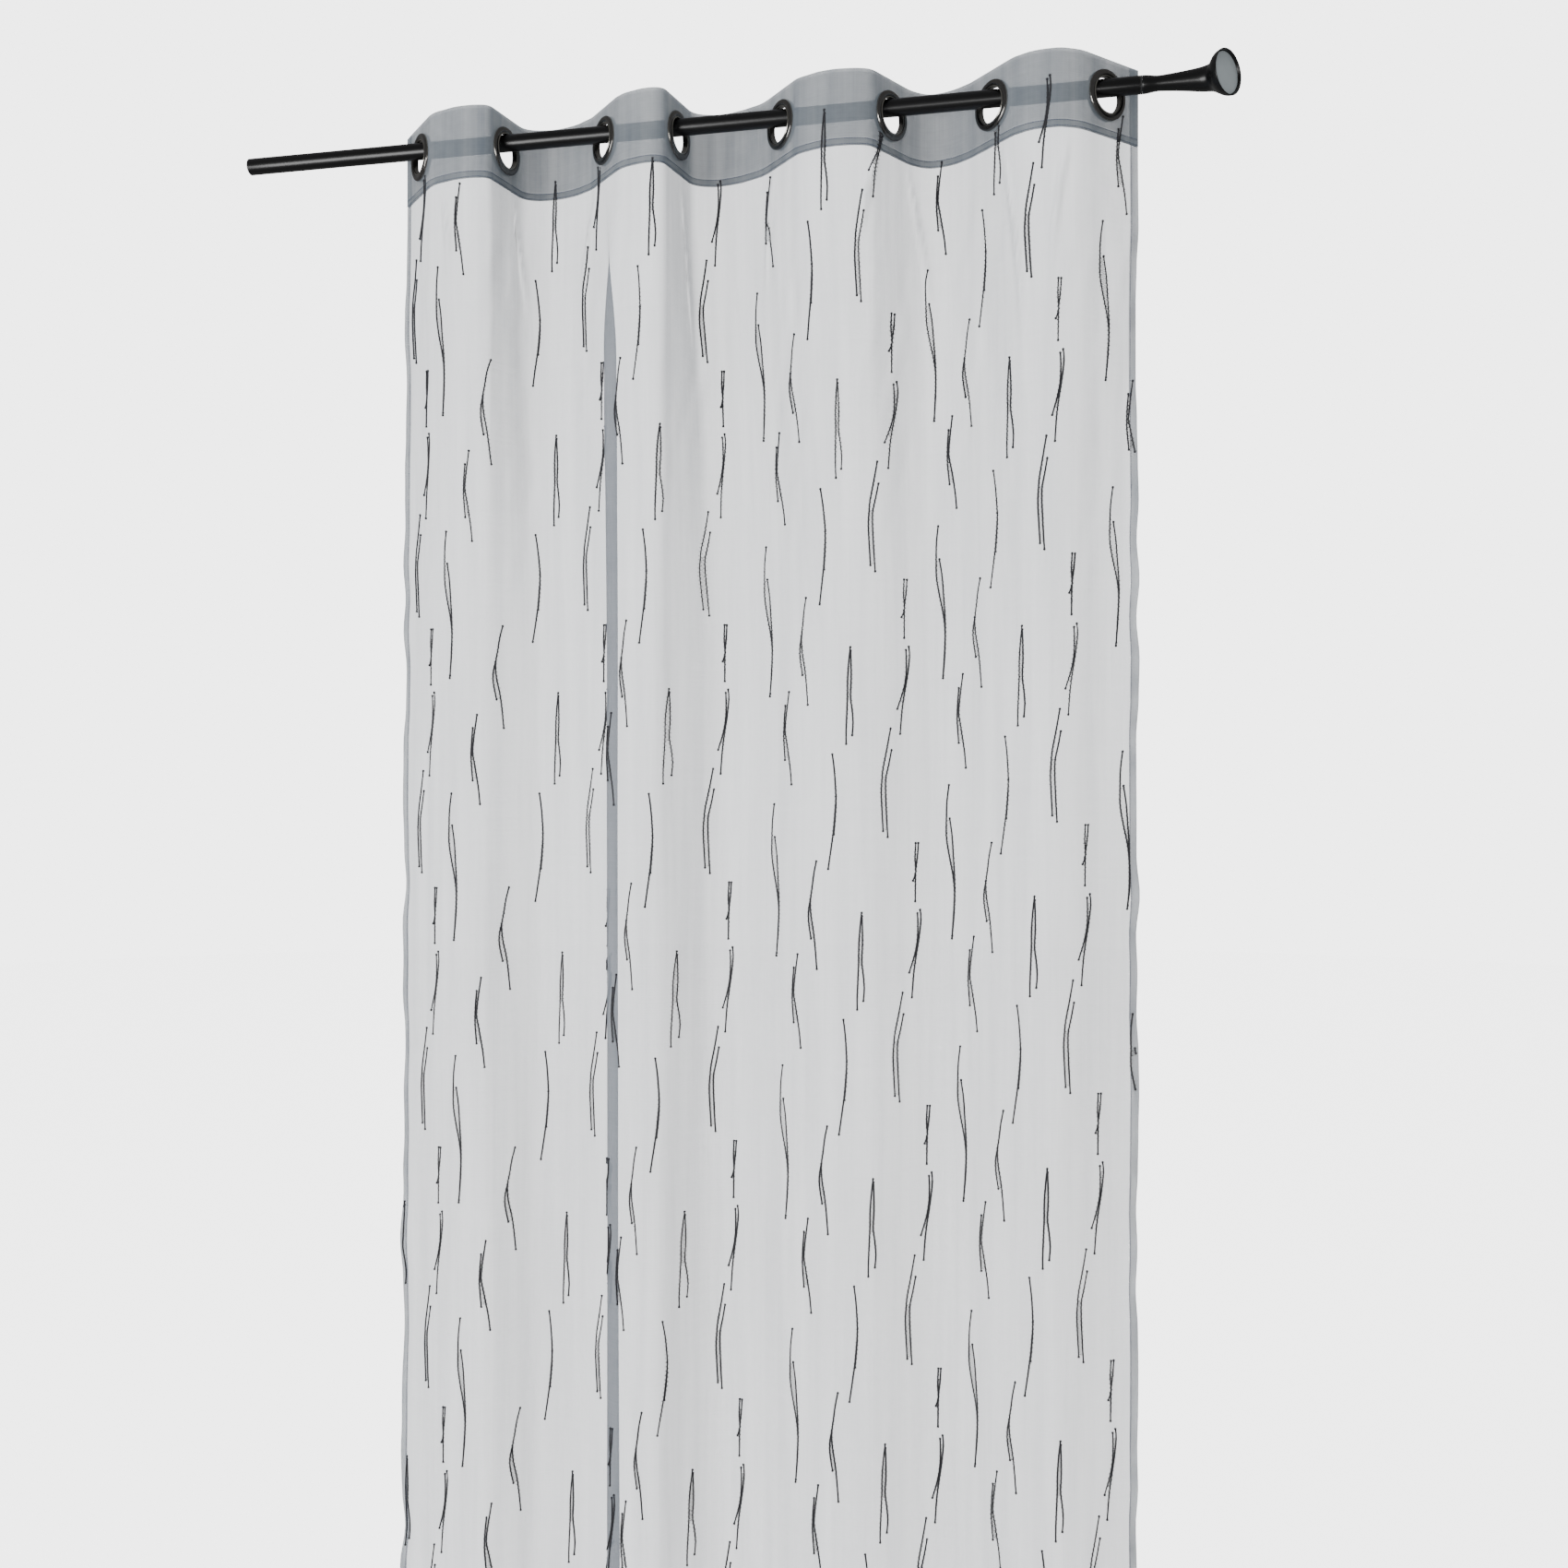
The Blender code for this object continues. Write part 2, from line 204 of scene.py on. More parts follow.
low = Vector(cad_bounds[0])
floor_reach = 14
floor_gap = 0.012
floor_mesh = bmesh.new()
bmesh.ops.create_circle(floor_mesh, cap_ends=True, radius=floor_reach, segments=64)
bmesh.ops.translate(floor_mesh, verts=floor_mesh.verts, vec=(0, 0, low.z - floor_gap))
floor_data = bpy.data.meshes.new("floor")
floor_mesh.to_mesh(floor_data)
floor_mesh.free()
floor_finish = Finish("floor_paint", roughness=0.9, specular_ior_level=0.1, emission_strength=2.0)
floor_mottle = floor_finish.cloud(floor_finish.place(), 0.8)
floor_finish.coat_with(
    base_color=floor_finish.mix(floor_mottle, colour(0.90, 0.90, 0.90), colour(0.93, 0.93, 0.93)),
    emission_color=colour(1, 1, 1),
)
floor = put("floor", floor_data, floor_finish.material)
floor.visible_glossy = False
floor.visible_diffuse = False

backdrop_light = 4.2
room_light = 0.55
mirrored_light = 0.15
world = bpy.data.worlds.new("pale_room")
bpy.context.scene.world = world
world.use_nodes = True
sky = Nodes(world.node_tree)
rays = world.node_tree.nodes.new("ShaderNodeLightPath")
seen = Value(sky, rays.outputs["Is Camera Ray"])
glossy = Value(sky, rays.outputs["Is Glossy Ray"])
strength = seen * backdrop_light + (1 - seen) * (room_light - glossy * (room_light - mirrored_light))
sky.feed(world.node_tree.nodes["Background"].inputs["Strength"], strength)
sky.feed(world.node_tree.nodes["Background"].inputs["Color"], colour(1, 1, 1))


def soft_box(name, place, aim, size, power):
    """A flat rectangular lamp that faces a point."""
    lamp = bpy.data.lights.new(name, "AREA")
    lamp.shape = "RECTANGLE"
    lamp.size, lamp.size_y = size
    lamp.energy = power
    box = bpy.data.objects.new(name, lamp)
    box.location = place
    box.rotation_euler = (Vector(aim) - Vector(place)).to_track_quat("-Z", "Y").to_euler()
    box.visible_camera = False
    bpy.context.scene.collection.objects.link(box)


soft_box("front_box", (-1.50, -2.4, -1.02), (-0.2, 0, 0), (1.7, 1.3), 58)
soft_box("finial_box", (0.42, -0.85, -0.37), (0.60, 0, 0), (0.46, 0.12), 1.1)
sun = bpy.data.objects.new("overhead", bpy.data.lights.new("overhead", "SUN"))
sun.data.energy = 5.7
sun.data.angle = math.radians(40)
sun.location = (0, 0, 3)
sun.visible_glossy = False
bpy.context.scene.collection.objects.link(sun)

# ------------------------------
# Rod: a drawn steel tube, cut square with its edges broken, and sprayed with gloss black lacquer.
# The finial's plug is pushed into its right end.


def skinned(name, rings, finish, closed_path=True):
    """Skin a list of rings of points into a closed smooth body; a ring of one point is a tip."""
    body = bmesh.new()
    made = [[body.verts.new(point) for point in ring] for ring in rings]
    pairs = list(zip(made, made[1:]))
    if closed_path:
        pairs.append((made[-1], made[0]))
    for first, second in pairs:
        count = max(len(first), len(second))
        for i in range(count):
            j = (i + 1) % count
            corners = [first[i % len(first)], first[j % len(first)]]
            corners += [second[j % len(second)], second[i % len(second)]]
            body.faces.new(list(dict.fromkeys(corners)))
    bmesh.ops.recalc_face_normals(body, faces=body.faces)
    mesh = bpy.data.meshes.new(name)
    body.to_mesh(mesh)
    body.free()
    return put(name, mesh, finish)


def turned(name, profile, place, finish, sides=72, closed_path=True):
    """Revolve (distance along, radius) points about the local X axis of a place."""
    rings = []
    for along, radius in profile:
        spot = place @ Matrix.Translation((along, 0, 0))
        if radius <= 0:
            rings.append([spot.translation.copy()])
            continue
        angles = (2 * math.pi * i / sides for i in range(sides))
        rings.append([spot @ Vector((0, radius * math.cos(a), radius * math.sin(a))) for a in angles])
    return skinned(name, rings, finish, closed_path)


def arc(centre_along, centre_radius, size, start, end, steps=6):
    """Points of a round corner of a turned profile, between two angles in degrees."""
    points = []
    for step in range(steps + 1):
        angle = math.radians(start + (end - start) * step / steps)
        along = centre_along + size * math.cos(angle)
        points.append((along, centre_radius + size * math.sin(angle)))
    return points


def lacquer(name, centre):
    """Gloss black spray lacquer: faint orange peel, faint dust, rubbed a little duller in places."""
    made = Finish(name, specular_ior_level=0.25, coat_roughness=0.31)
    place = made.place(centre=centre)
    long_place = made.place(scale=(0.12, 1, 1), centre=centre)
    rub = made.cloud(long_place, 38, 4.0, 0.6)
    dust = made.between(made.cloud(place, 900, 2.0, 0.7), 0.62, 0.80)
    shade = rub * 0.5 + dust * 0.3
    made.coat_with(
        base_color=made.mix(shade, colour(0.0012, 0.0012, 0.0014), colour(0.0070, 0.0070, 0.0080)),
        roughness=0.24 + rub * 0.14 + dust * 0.12,
        coat_weight=0.8 - dust * 0.3,
    )
    made.relief(made.cloud(place, 260, 2.0, 0.4) * 0.7 + rub * 0.3, 0.00005)
    return made.material


rod_low, rod_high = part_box("rod_tube")
rod_radius = rod_high.z
rod_wall = 0.0012
rod_bore = rod_radius - rod_wall
rod_edge = 0.0002
rod_stations = 24
seam_close = 0.00026
rod_start = rod_low.x
rod_end = rod_high.x + seam_close
rod_profile = [(rod_start + rod_edge, rod_bore)]
rod_profile += arc(rod_start + rod_edge, rod_bore + rod_edge, rod_edge, 270, 180, 4)
rod_profile += arc(rod_start + rod_edge, rod_radius - rod_edge, rod_edge, 180, 90, 4)
for station in range(1, rod_stations):
    rod_profile.append((rod_start + (rod_end - rod_start) * station / rod_stations, rod_radius))
rod_profile += arc(rod_end - rod_edge, rod_radius - rod_edge, rod_edge, 90, 0, 4)
rod_profile += arc(rod_end - rod_edge, rod_bore + rod_edge, rod_edge, 0, -90, 4)
rod_profile = list(dict.fromkeys((round(along, 6), round(radius, 6)) for along, radius in rod_profile))

rod = turned("curtain_rod", rod_profile, Matrix(), lacquer("rod_lacquer", (0, 0, 0)), sides=96)
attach(rod, "rod")
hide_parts("rod_tube")

# ------------------------------
# Plug and screw: a moulded plastic plug with grip ribs slides into the rod's end, and a zinc
# plated screw through it draws the finial on. The screw keeps its frame solid.

plug_low, plug_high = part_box("finial_plug")
plug_plastic = Finish("moulded_plug", specular_ior_level=0.45)
plug_place = plug_plastic.place(centre=(plug_low + plug_high) / 2)
plug_grain = plug_plastic.cloud(plug_place, 1400, 3.0, 0.6)
plug_flow = plug_plastic.cloud(plug_plastic.place(scale=(1, 0.2, 0.2)), 240)
plug_plastic.coat_with(
    base_color=plug_plastic.mix(plug_flow, colour(0.014, 0.014, 0.015), colour(0.034, 0.034, 0.036)),
    roughness=0.42 + plug_grain * 0.2,
)
plug_plastic.relief(plug_grain, 0.00008)

plug_hole = 0.0024
plug_play = 0.0003
plug_edge = 0.0002
plug_flange = 0.0020
plug_nose_length = 0.0025
plug_nose_taper = 0.0012
plug_radius = rod_bore - plug_play
plug_core = plug_radius - 0.0004
plug_rib = ((0, plug_core), (0.0006, plug_radius), (0.0014, plug_radius), (0.0018, plug_core))
plug_rib_pitch = 0.0030
plug_smooth = 0.004
plug_start = plug_low.x
plug_neck = plug_high.x - plug_flange
plug_profile = [(plug_start, plug_hole + 2 * plug_edge), (plug_start, plug_radius - plug_nose_taper)]
plug_profile += [(plug_start + plug_nose_length, plug_core)]
for rib in range(int((plug_neck - plug_start - plug_smooth) / plug_rib_pitch)):
    rib_start = plug_start + (rib + 1) * plug_rib_pitch
    plug_profile += [(rib_start + along, radius) for along, radius in plug_rib]
plug_profile += [(plug_neck, plug_core), (plug_neck, rod_radius - plug_edge)]
plug_profile += [(plug_neck + plug_edge, rod_radius), (plug_high.x - plug_edge, rod_radius)]
plug_profile += [(plug_high.x, rod_radius - plug_edge), (plug_high.x, plug_hole)]
plug_profile += [(plug_start + 2 * plug_edge, plug_hole)]
plug = turned("ribbed_plug", plug_profile, Matrix(), plug_plastic.material, sides=72)
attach(plug, "finial")
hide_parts("finial_plug")

screw_low, screw_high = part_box("finial_screw")
screw_zinc = Finish("zinc_plating", metallic=1.0)
screw_place = screw_zinc.place(centre=(screw_low + screw_high) / 2)
band_sockets = {"Vector": screw_place, "Scale": 420.0, "Distortion": 0.3}
screw_bands = screw_zinc.add("ShaderNodeTexWave", {"bands_direction": "X"}, band_sockets)
screw_bloom = screw_zinc.cloud(screw_place, 500)
screw_zinc.coat_with(
    base_color=screw_zinc.mix(screw_bloom, colour(0.50, 0.52, 0.56), colour(0.74, 0.73, 0.70)),
    roughness=0.26 + screw_bloom * 0.22,
)
screw_zinc.relief(screw_bands, 0.0002)

screw = frame["nodes"]["finial_screw"].data
screw.materials.clear()
screw.materials.append(screw_zinc.material)

# ------------------------------
# Finial: a cast horn that swells from the rod's width, bends a little to the room and flares to
# a round mouth with a rolled lip, lacquered with the rod; a satin grey disc is glued in its mouth.

horn_low, horn_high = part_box("finial_horn")
horn_length = 0.0955
horn_neck = 0.0076
horn_swell = 0.0105
horn_swell_power = 1.7
horn_tail = (0.0, 0.20)
horn_mouth = 0.0255
horn_mouth_turn = 36
horn_bend = (0.60, 0.92)
horn_flare = (0.76, 0.97)
horn_shoulder = ((-seam_close, rod_radius - 0.0003), (0, rod_radius - 0.0001))
horn_stations = 64
horn_crowding = 1.5
horn_bend_steps = 160
horn_lip = 0.0015
horn_hole = 0.0024
horn_hole_depth = 0.0163
mouth_depth = 0.0040
mouth_taper = 0.0006
mouth_corner = 0.0003


def eased(share, start, end):
    """Smooth step from 0 to 1 between two shares."""
    x = np.clip((share - start) / (end - start), 0, 1)
    return x * x * (3 - 2 * x)


def horn_place(share):
    """Matrix on the horn's bent middle line: local X runs along it, towards the mouth."""
    spot = Vector((horn_low.x, 0, 0))
    for step in range(horn_bend_steps):
        passed = share * (step + 0.5) / horn_bend_steps
        turn = math.radians(horn_mouth_turn) * eased(passed, *horn_bend)
        spot += Vector((math.cos(turn), -math.sin(turn), 0)) * horn_length * share / horn_bend_steps
    turn = math.radians(horn_mouth_turn) * eased(share, *horn_bend)
    return Matrix.Translation(spot) @ Matrix.Rotation(-turn, 4, "Z")


def horn_ring(share, along, radius, sides=96):
    """A ring round the horn, at a share of its length and a distance on from there."""
    spot = horn_place(share) @ Matrix.Translation((along, 0, 0))
    angles = (2 * math.pi * i / sides for i in range(sides))
    return [spot @ Vector((0, radius * math.cos(a), radius * math.sin(a))) for a in angles]


horn_rings = [[horn_place(0) @ Vector((horn_hole_depth, 0, 0))]]
horn_rings += [horn_ring(0, horn_hole_depth, horn_hole), horn_ring(0, -seam_close, horn_hole)]
horn_rings += [horn_ring(0, along, radius) for along, radius in horn_shoulder]
for station in range(1, horn_stations):
    share = 1 - (1 - station / (horn_stations - 1)) ** horn_crowding
    width = horn_neck + (rod_radius - horn_neck) * (1 - eased(share, *horn_tail))
    width += horn_swell * share ** horn_swell_power
    width += (horn_mouth - horn_neck - horn_swell) * eased(share, *horn_flare)
    horn_rings.append(horn_ring(share, 0, float(width)))
roll = horn_lip / 2
for along, radius in arc(0, horn_mouth - roll, roll, 90, -90, 8)[1:]:
    horn_rings.append(horn_ring(1, along, radius))
mouth_floor = horn_mouth - horn_lip - mouth_taper
horn_rings.append(horn_ring(1, -mouth_depth + mouth_corner, mouth_floor))
horn_rings.append(horn_ring(1, -mouth_depth, mouth_floor - mouth_corner))
horn_rings.append([horn_place(1) @ Vector((-mouth_depth, 0, 0))])

horn = skinned(
    "finial_trumpet", horn_rings, lacquer("horn_lacquer", (horn_low + horn_high) / 2), closed_path=False
)
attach(horn, "finial")
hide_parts("finial_horn")

disc_thickness = 0.0012
disc_gap = 0.0003
disc_edge = 0.0004
disc_steps = 9
disc_radius = mouth_floor - disc_edge
disc_front = -mouth_depth + disc_gap + disc_thickness
disc_crown = 0.0003

disc_grey = Finish("satin_grey_plate", metallic=0.15, specular_ior_level=0.4)
disc_centre = horn_place(1) @ Vector((disc_front, 0, 0))
disc_tone = disc_grey.cloud(disc_grey.place(centre=disc_centre), 45, 3.0, 0.6)
disc_brush = disc_grey.cloud(disc_grey.place(scale=(1, 1, 0.05), centre=disc_centre), 900, 4.0, 0.6)
disc_shade = disc_brush * 0.5 + disc_tone * 0.5
disc_grey.coat_with(
    base_color=disc_grey.mix(disc_shade, colour(0.36, 0.41, 0.43), colour(0.50, 0.55, 0.57)),
    roughness=0.36 + disc_brush * 0.18,
)
disc_grey.relief(disc_brush * 0.8 + disc_tone * 0.2, 0.00006)

disc_profile = [(disc_front - disc_thickness, 0), (disc_front - disc_thickness, disc_radius - disc_edge)]
disc_profile += arc(disc_front - disc_edge, disc_radius - disc_edge, disc_edge, 0, 90, 5)[::-1]
for step in range(1, disc_steps):
    share = 1 - step / disc_steps
    radius = (disc_radius - disc_edge) * share
    disc_profile.append((disc_front + disc_crown * (1 - share ** 2), radius))
disc_profile.append((disc_front + disc_crown, 0))
disc = turned(
    "finial_disc", disc_profile, horn_place(1), disc_grey.material, sides=96, closed_path=False
)
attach(disc, "finial")
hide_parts("finial_face_plate")

# ------------------------------
# Eyelets: eight two-part rings, pressed from sheet, plated black nickel and polished. The front
# half carries the barrel through the header, and the back half snaps over it.

eyelet_count = 8
eyelet_hole = 0.020
eyelet_rim = 0.0285
eyelet_barrel = 0.0216
eyelet_seat = 0.00125
eyelet_height = 0.0032
eyelet_lip = 0.00295
eyelet_bead = 0.0007
eyelet_snap_gap = 0.0003
eyelet_crimp = 0.0010
bead_curl = 0.0004
rim_foot = ((0, 0.0007), (0.0002, 0.0001))
rim_rise = 0.0006
rim_start = 4
rim_sweep = 148
rim_steps = 11
rim_flatness = 0.72
# How far the brighter lip bands reach; they are partly wear and partly a painted highlight.
mouth_wear_and_highlight = 0.0013
rim_wear_and_highlight = 0.0009


def unique_points(node):
    """A frame node's corners, each once."""
    data = frame["nodes"][node].data
    points = np.empty(len(data.vertices) * 3, np.float32)
    data.vertices.foreach_get("co", points)
    return np.unique(points.reshape(-1, 3).round(6), axis=0)


def measured_eyelet(number):
    """An eyelet's centre and its axis, which points out of the cloth's back."""
    points = np.vstack([unique_points("eyelet_%d_%s" % (number, half)) for half in ("front", "back")])
    middle = points.mean(axis=0)
    axis = np.linalg.svd(points - middle, full_matrices=False)[2][2]
    axis = axis * np.sign(axis[1])
    reach = (points - middle) @ axis
    centre = middle + axis * (reach.min() + reach.max()) / 2
    return Vector(centre.tolist()), Vector(axis.tolist())


def eyelet_place(centre, axis):
    """Matrix on an eyelet: local X is its axis and local Z is up."""
    across = Vector((-axis.y, axis.x, 0))
    turn = Matrix((axis, across, (0, 0, 1))).transposed()
    return Matrix.Translation(centre) @ turn.to_4x4()


def pressed_rim(inner):
    """Rounded flange from its outer edge on the cloth, over its crown, to the inner groove."""
    middle, half = (eyelet_rim + inner) / 2, (eyelet_rim - inner) / 2
    points = [(eyelet_seat + along, eyelet_rim - inset) for along, inset in rim_foot]
    for step in range(1, rim_steps + 1):
        angle = math.radians(rim_start + rim_sweep * step / rim_steps)
        bulge = math.sin(angle) ** rim_flatness
        along = eyelet_seat + rim_rise + (eyelet_height - rim_rise) * bulge
        points.append((along, middle + half * math.cos(angle)))
    return points


def eyelet_nickel(number, centre):
    """Polished black nickel, with faint cloudy handling marks and a brighter lip that is partly worn
    lighter metal and partly a painted highlight.
    """
    made = Finish("black_nickel_%d" % number, metallic=1.0, coat_roughness=0.05)
    place = made.place(centre=centre)
    smear = made.cloud(place, 120, 4.0, 0.6)
    speck = made.cloud(place, 1600, 2.0, 0.5)
    wear_and_highlight = made.add("ShaderNodeAttribute", {"attribute_name": "worn_lip_and_highlight"}, {}, "Fac")
    dark = made.mix(smear, colour(0.13, 0.127, 0.125), colour(0.31, 0.30, 0.285))
    # The lip bands get a lighter metal colour: partly wear, partly a painted highlight.
    made.coat_with(
        base_color=made.mix(wear_and_highlight, dark, colour(0.52, 0.50, 0.45)),
        roughness=0.10 + smear * 0.14 + wear_and_highlight * 0.06,
        coat_weight=0.5 - smear * 0.3,
    )
    made.relief(speck * 0.4 + smear * 0.6, 0.00004)
    return made.material


def mark_wear_and_highlight(piece, centre, axis, bands):
    """Mark a ring's edges for worn lighter metal and a painted highlight: bands are (radius, along the
    axis, reach), in metres.
    """
    wear_and_highlight_gain = 1.6
    wear_and_highlight = piece.data.attributes.new("worn_lip_and_highlight", "FLOAT", "POINT")
    marks = []
    for vertex in piece.data.vertices:
        arm = vertex.co - centre
        along = arm.dot(axis)
        radius = (arm - axis * along).length
        near = [1 - math.hypot(radius - r, along - a) / reach for r, a, reach in bands]
        marks.append(min(max(max(near), 0) * wear_and_highlight_gain, 1))
    wear_and_highlight.data.foreach_set("value", marks)


eyelets = [measured_eyelet(number) for number in range(1, eyelet_count + 1)]
joints = frame["record"]["behaviour"]["joints"]
drawn = next(joint["range_m"][1] for joint in joints if joint["name"] == "curtain_draw")
gathered_share = 1 - drawn / (eyelets[-1][0].x - eyelets[0][0].x)

bead_middle = eyelet_hole + eyelet_bead
snap = eyelet_barrel + eyelet_snap_gap
front = [(-along, radius) for along, radius in pressed_rim(eyelet_hole + 2 * eyelet_bead)]
bead_arc = arc(eyelet_lip + bead_curl, bead_middle, eyelet_bead, 60, -90, 7)
front += [(-along, radius) for along, radius in bead_arc]
front += [(0, eyelet_hole), (eyelet_lip - eyelet_bead, eyelet_hole)]
front += arc(eyelet_lip - eyelet_bead, bead_middle, eyelet_bead, -90, 60, 6)
front += [(eyelet_lip - eyelet_crimp, eyelet_barrel), (-eyelet_seat, eyelet_barrel)]
back = pressed_rim(snap) + [(eyelet_seat + 0.6 * eyelet_height, snap), (eyelet_seat, snap)]

for number, (centre, axis) in enumerate(eyelets, start=1):
    place = eyelet_place(centre, axis)
    nickel = eyelet_nickel(number, centre)
    body = "curtain" if number == eyelet_count else "eyelet_%d" % number
    for half, profile, side in (("front", front, -1), ("back", back, 1)):
        ring = turned("eyelet_%d_%s_ring" % (number, half), profile, place, nickel, sides=72)
        mouth_band = (bead_middle, side * (eyelet_lip + eyelet_crimp), mouth_wear_and_highlight)
        mark_wear_and_highlight(ring, centre, axis, [mouth_band, (eyelet_rim, side * eyelet_seat, rim_wear_and_highlight)])
        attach(ring, body)
        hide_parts("eyelet_%d_%s" % (number, half))
        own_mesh(ring)

# ------------------------------
# Panel: one width of sheer blue-grey voile. It leaves the header in the eyelets' deep waves and
# relaxes into soft, shallow folds, so its upper half still shows where each wave turned.

flat_at_eyelet = 0.030
edge_beyond_eyelet = 0.052
front_fold = 0.040
back_fold = 0.050
header_height = 0.088
top_above_eyelet = 0.042
side_hem = 0.013
bottom_hem = 0.060

route_step = 0.002
bend_steps = 32
bend_reach = 0.375
bend_least = 0.006
past_edge = 0.008

cloth_top = float(np.mean([centre.z for centre, _ in eyelets])) + top_above_eyelet
drop = cloth_top - low.z


def cloth_route():
    """Plan of the cloth at the header, from its left edge to its right one, at even steps."""
    points = []
    for index, (centre, axis) in enumerate(eyelets):
        spot = centre.xy
        way = Vector((axis.y, -axis.x))
        first = index == 0
        last = index == eyelet_count - 1
        points.append(spot - way * (edge_beyond_eyelet if first else flat_at_eyelet))
        points.append(spot + way * (edge_beyond_eyelet if last else flat_at_eyelet))
        if last:
            break
        next_centre, next_axis = eyelets[index + 1]
        next_way = Vector((next_axis.y, -next_axis.x))
        start, end = points[-1], next_centre.xy - next_way * flat_at_eyelet
        depth = front_fold if index % 2 == 0 else back_fold
        lean = bend_reach * (abs(way.y) + abs(next_way.y))
        handle = max((depth - (abs(start.y) + abs(end.y)) / 2) / lean, bend_least)
        pull, push = start + way * handle, end - next_way * handle
        for step in range(1, bend_steps):
            t = step / bend_steps
            s = 1 - t
            points.append(start * s**3 + pull * 3 * s * s * t + push * 3 * s * t * t + end * t**3)
    path = np.array([tuple(point) for point in points])
    steps = np.hypot(*np.diff(path, axis=0).T)
    travelled = np.concatenate([[0], np.cumsum(steps)])
    spaced = np.linspace(0, travelled[-1], int(travelled[-1] / route_step) + 1)
    return spaced, np.column_stack([np.interp(spaced, travelled, path[:, k]) for k in (0, 1)])


route_s, route = cloth_route()
cloth_width = float(route_s[-1])
left_x, right_x = float(route[0, 0]), float(route[-1, 0])
eyelet_s = [float(route_s[np.argmin(np.hypot(*(route - np.array(c.xy)).T))]) for c, _ in eyelets]
before_edge = route[0] - (route[1] - route[0]) * past_edge / route_step
after_edge = route[-1] + (route[-1] - route[-2]) * past_edge / route_step
route_s = np.concatenate([[-past_edge], route_s, [cloth_width + past_edge]])
route = np.vstack([before_edge, route, after_edge])


def ripple(along, down, pitch, seed):
    """Smooth chance heights from -1 to 1, one bump for each pitch (along, down)."""
    size, offset = 64, 20
    heights = np.random.default_rng(seed).uniform(-1, 1, (size, size))
    u, v = along / pitch[0] + offset, down / pitch[1] + offset
    i, j = np.floor(u).astype(int), np.floor(v).astype(int)
    fu, fv = u - i, v - j
    fu, fv = fu * fu * (3 - 2 * fu), fv * fv * (3 - 2 * fv)
    i, i_next = i % size, (i + 1) % size
    j, j_next = j % size, (j + 1) % size
    near = heights[i, j] * (1 - fu) + heights[i_next, j] * fu
    far = heights[i, j_next] * (1 - fu) + heights[i_next, j_next] * fu
    return near * (1 - fv) + far * fv


fold_places = [0] + [(a + b) / 2 for a, b in zip(eyelet_s, eyelet_s[1:])] + [cloth_width]
fold_keeps = [0.45, 0.34, 0.40, 0.74, 0.42, 0.30, 0.36, 0.66, 0.40]
relax_height = 0.62
relax_across = 0.72
leave_height = 0.10
creases_fade = (0.25, 0.75)
soft_fold = (0.0085, 0.31)
lap_centre = eyelet_s[2] + 0.012
lap_reach = 0.018
lap_depth = 0.0255
lap_height = 0.22
edge_width = 0.016
edge_across = (0.0028, (1, 0.045), 12)
edge_out = (0.0050, (1, 0.060), 13)
grip_fade = (0.031, 0.052)
grip_ripple = (0.0009, (0.016, 0.20), 15)

# Ripples are given by their depth, pitch along and down, and seed. The free cloth has two broad
# ones; two fine ones under the header also have a slant, which comes first.
free_ripples = ((0.0046, (0.085, 0.60), 3), (0.0014, (0.034, 0.17), 5))
slanting_ripples = ((0.35, 0.0016, (0.017, 0.11), 8), (-0.30, 0.0013, (0.021, 0.14), 9))

# Creases that the eyelets' weight pulls into the cloth: which eyelet, how far beside it each one
# starts, how far it sweeps aside and how far it falls, in metres.
pulled_creases = (
    (0, 0.055, 0.014, 0.13),
    (1, 0.016, 0.030, 0.17),
    (2, -0.022, -0.034, 0.15),
    (3, 0.010, 0.022, 0.24),
    (4, -0.016, -0.020, 0.16),
    (5, -0.024, -0.026, 0.12),
    (5, 0.030, 0.034, 0.19),
    (6, 0.018, 0.030, 0.26),
    (7, -0.052, -0.022, 0.18),
)
crease_start = 0.004
crease_width = 0.0038
crease_height = 0.0082


def plan(s, d):
    """Plan place of the cloth, at a distance along it and down from its top."""
    top_x, top_y = (np.interp(s, route_s, route[:, k]) for k in (0, 1))
    loose = eased(d, header_height * 0.9, header_height + relax_height)
    below = eased(d, header_height, header_height + leave_height)
    even_x = left_x + (right_x - left_x) * s / cloth_width
    x = top_x + (even_x - top_x) * loose * relax_across
    lap = (s - lap_centre) / lap_reach
    lapped = eased(d, header_height, header_height + lap_height)
    x = x - lap_depth * lap * np.exp(-lap * lap / 2) * lapped
    y = top_y * (1 - loose * (1 - np.interp(s, fold_places, fold_keeps)))
    depth, pitch = soft_fold
    y = y + loose * depth * np.sin(2 * np.pi * s / pitch + 1.3 + 0.8 * np.sin(1.7 * d))
    for depth, pitches, seed in free_ripples:
        y = y + below * depth * ripple(s, d, pitches, seed)
    creased = below * (1 - eased(d, *creases_fade))
    for slant, depth, pitches, seed in slanting_ripples:
        y = y + creased * depth * ripple(s + slant * d, d, pitches, seed)
    for index, beside, sweep, fall in pulled_creases:
        share = np.clip((d - header_height - crease_start) / fall, 0, 1)
        middle = eyelet_s[index] + beside + sweep * (1 - (1 - share) ** 2)
        ridge = np.exp(-(((s - middle) / crease_width) ** 2)) * np.sin(np.pi * share**0.7) ** 2
        y = y - crease_height * ridge
    edge = np.exp(-np.minimum(s, cloth_width - s) / edge_width) * below
    x = x + edge * edge_across[0] * ripple(s * 0, d, *edge_across[1:])
    y = y + edge * edge_out[0] * ripple(s * 0, d, *edge_out[1:])
    clear = np.min([eased(np.abs(s - e), *grip_fade) for e in eyelet_s], axis=0)
    depth, pitches, seed = grip_ripple
    y = y + clear * (1 - below) * depth * ripple(s, d, pitches, seed)
    return x, y


plan_step = 0.002
hem_density = 1.1
punch_reach = 0.0022


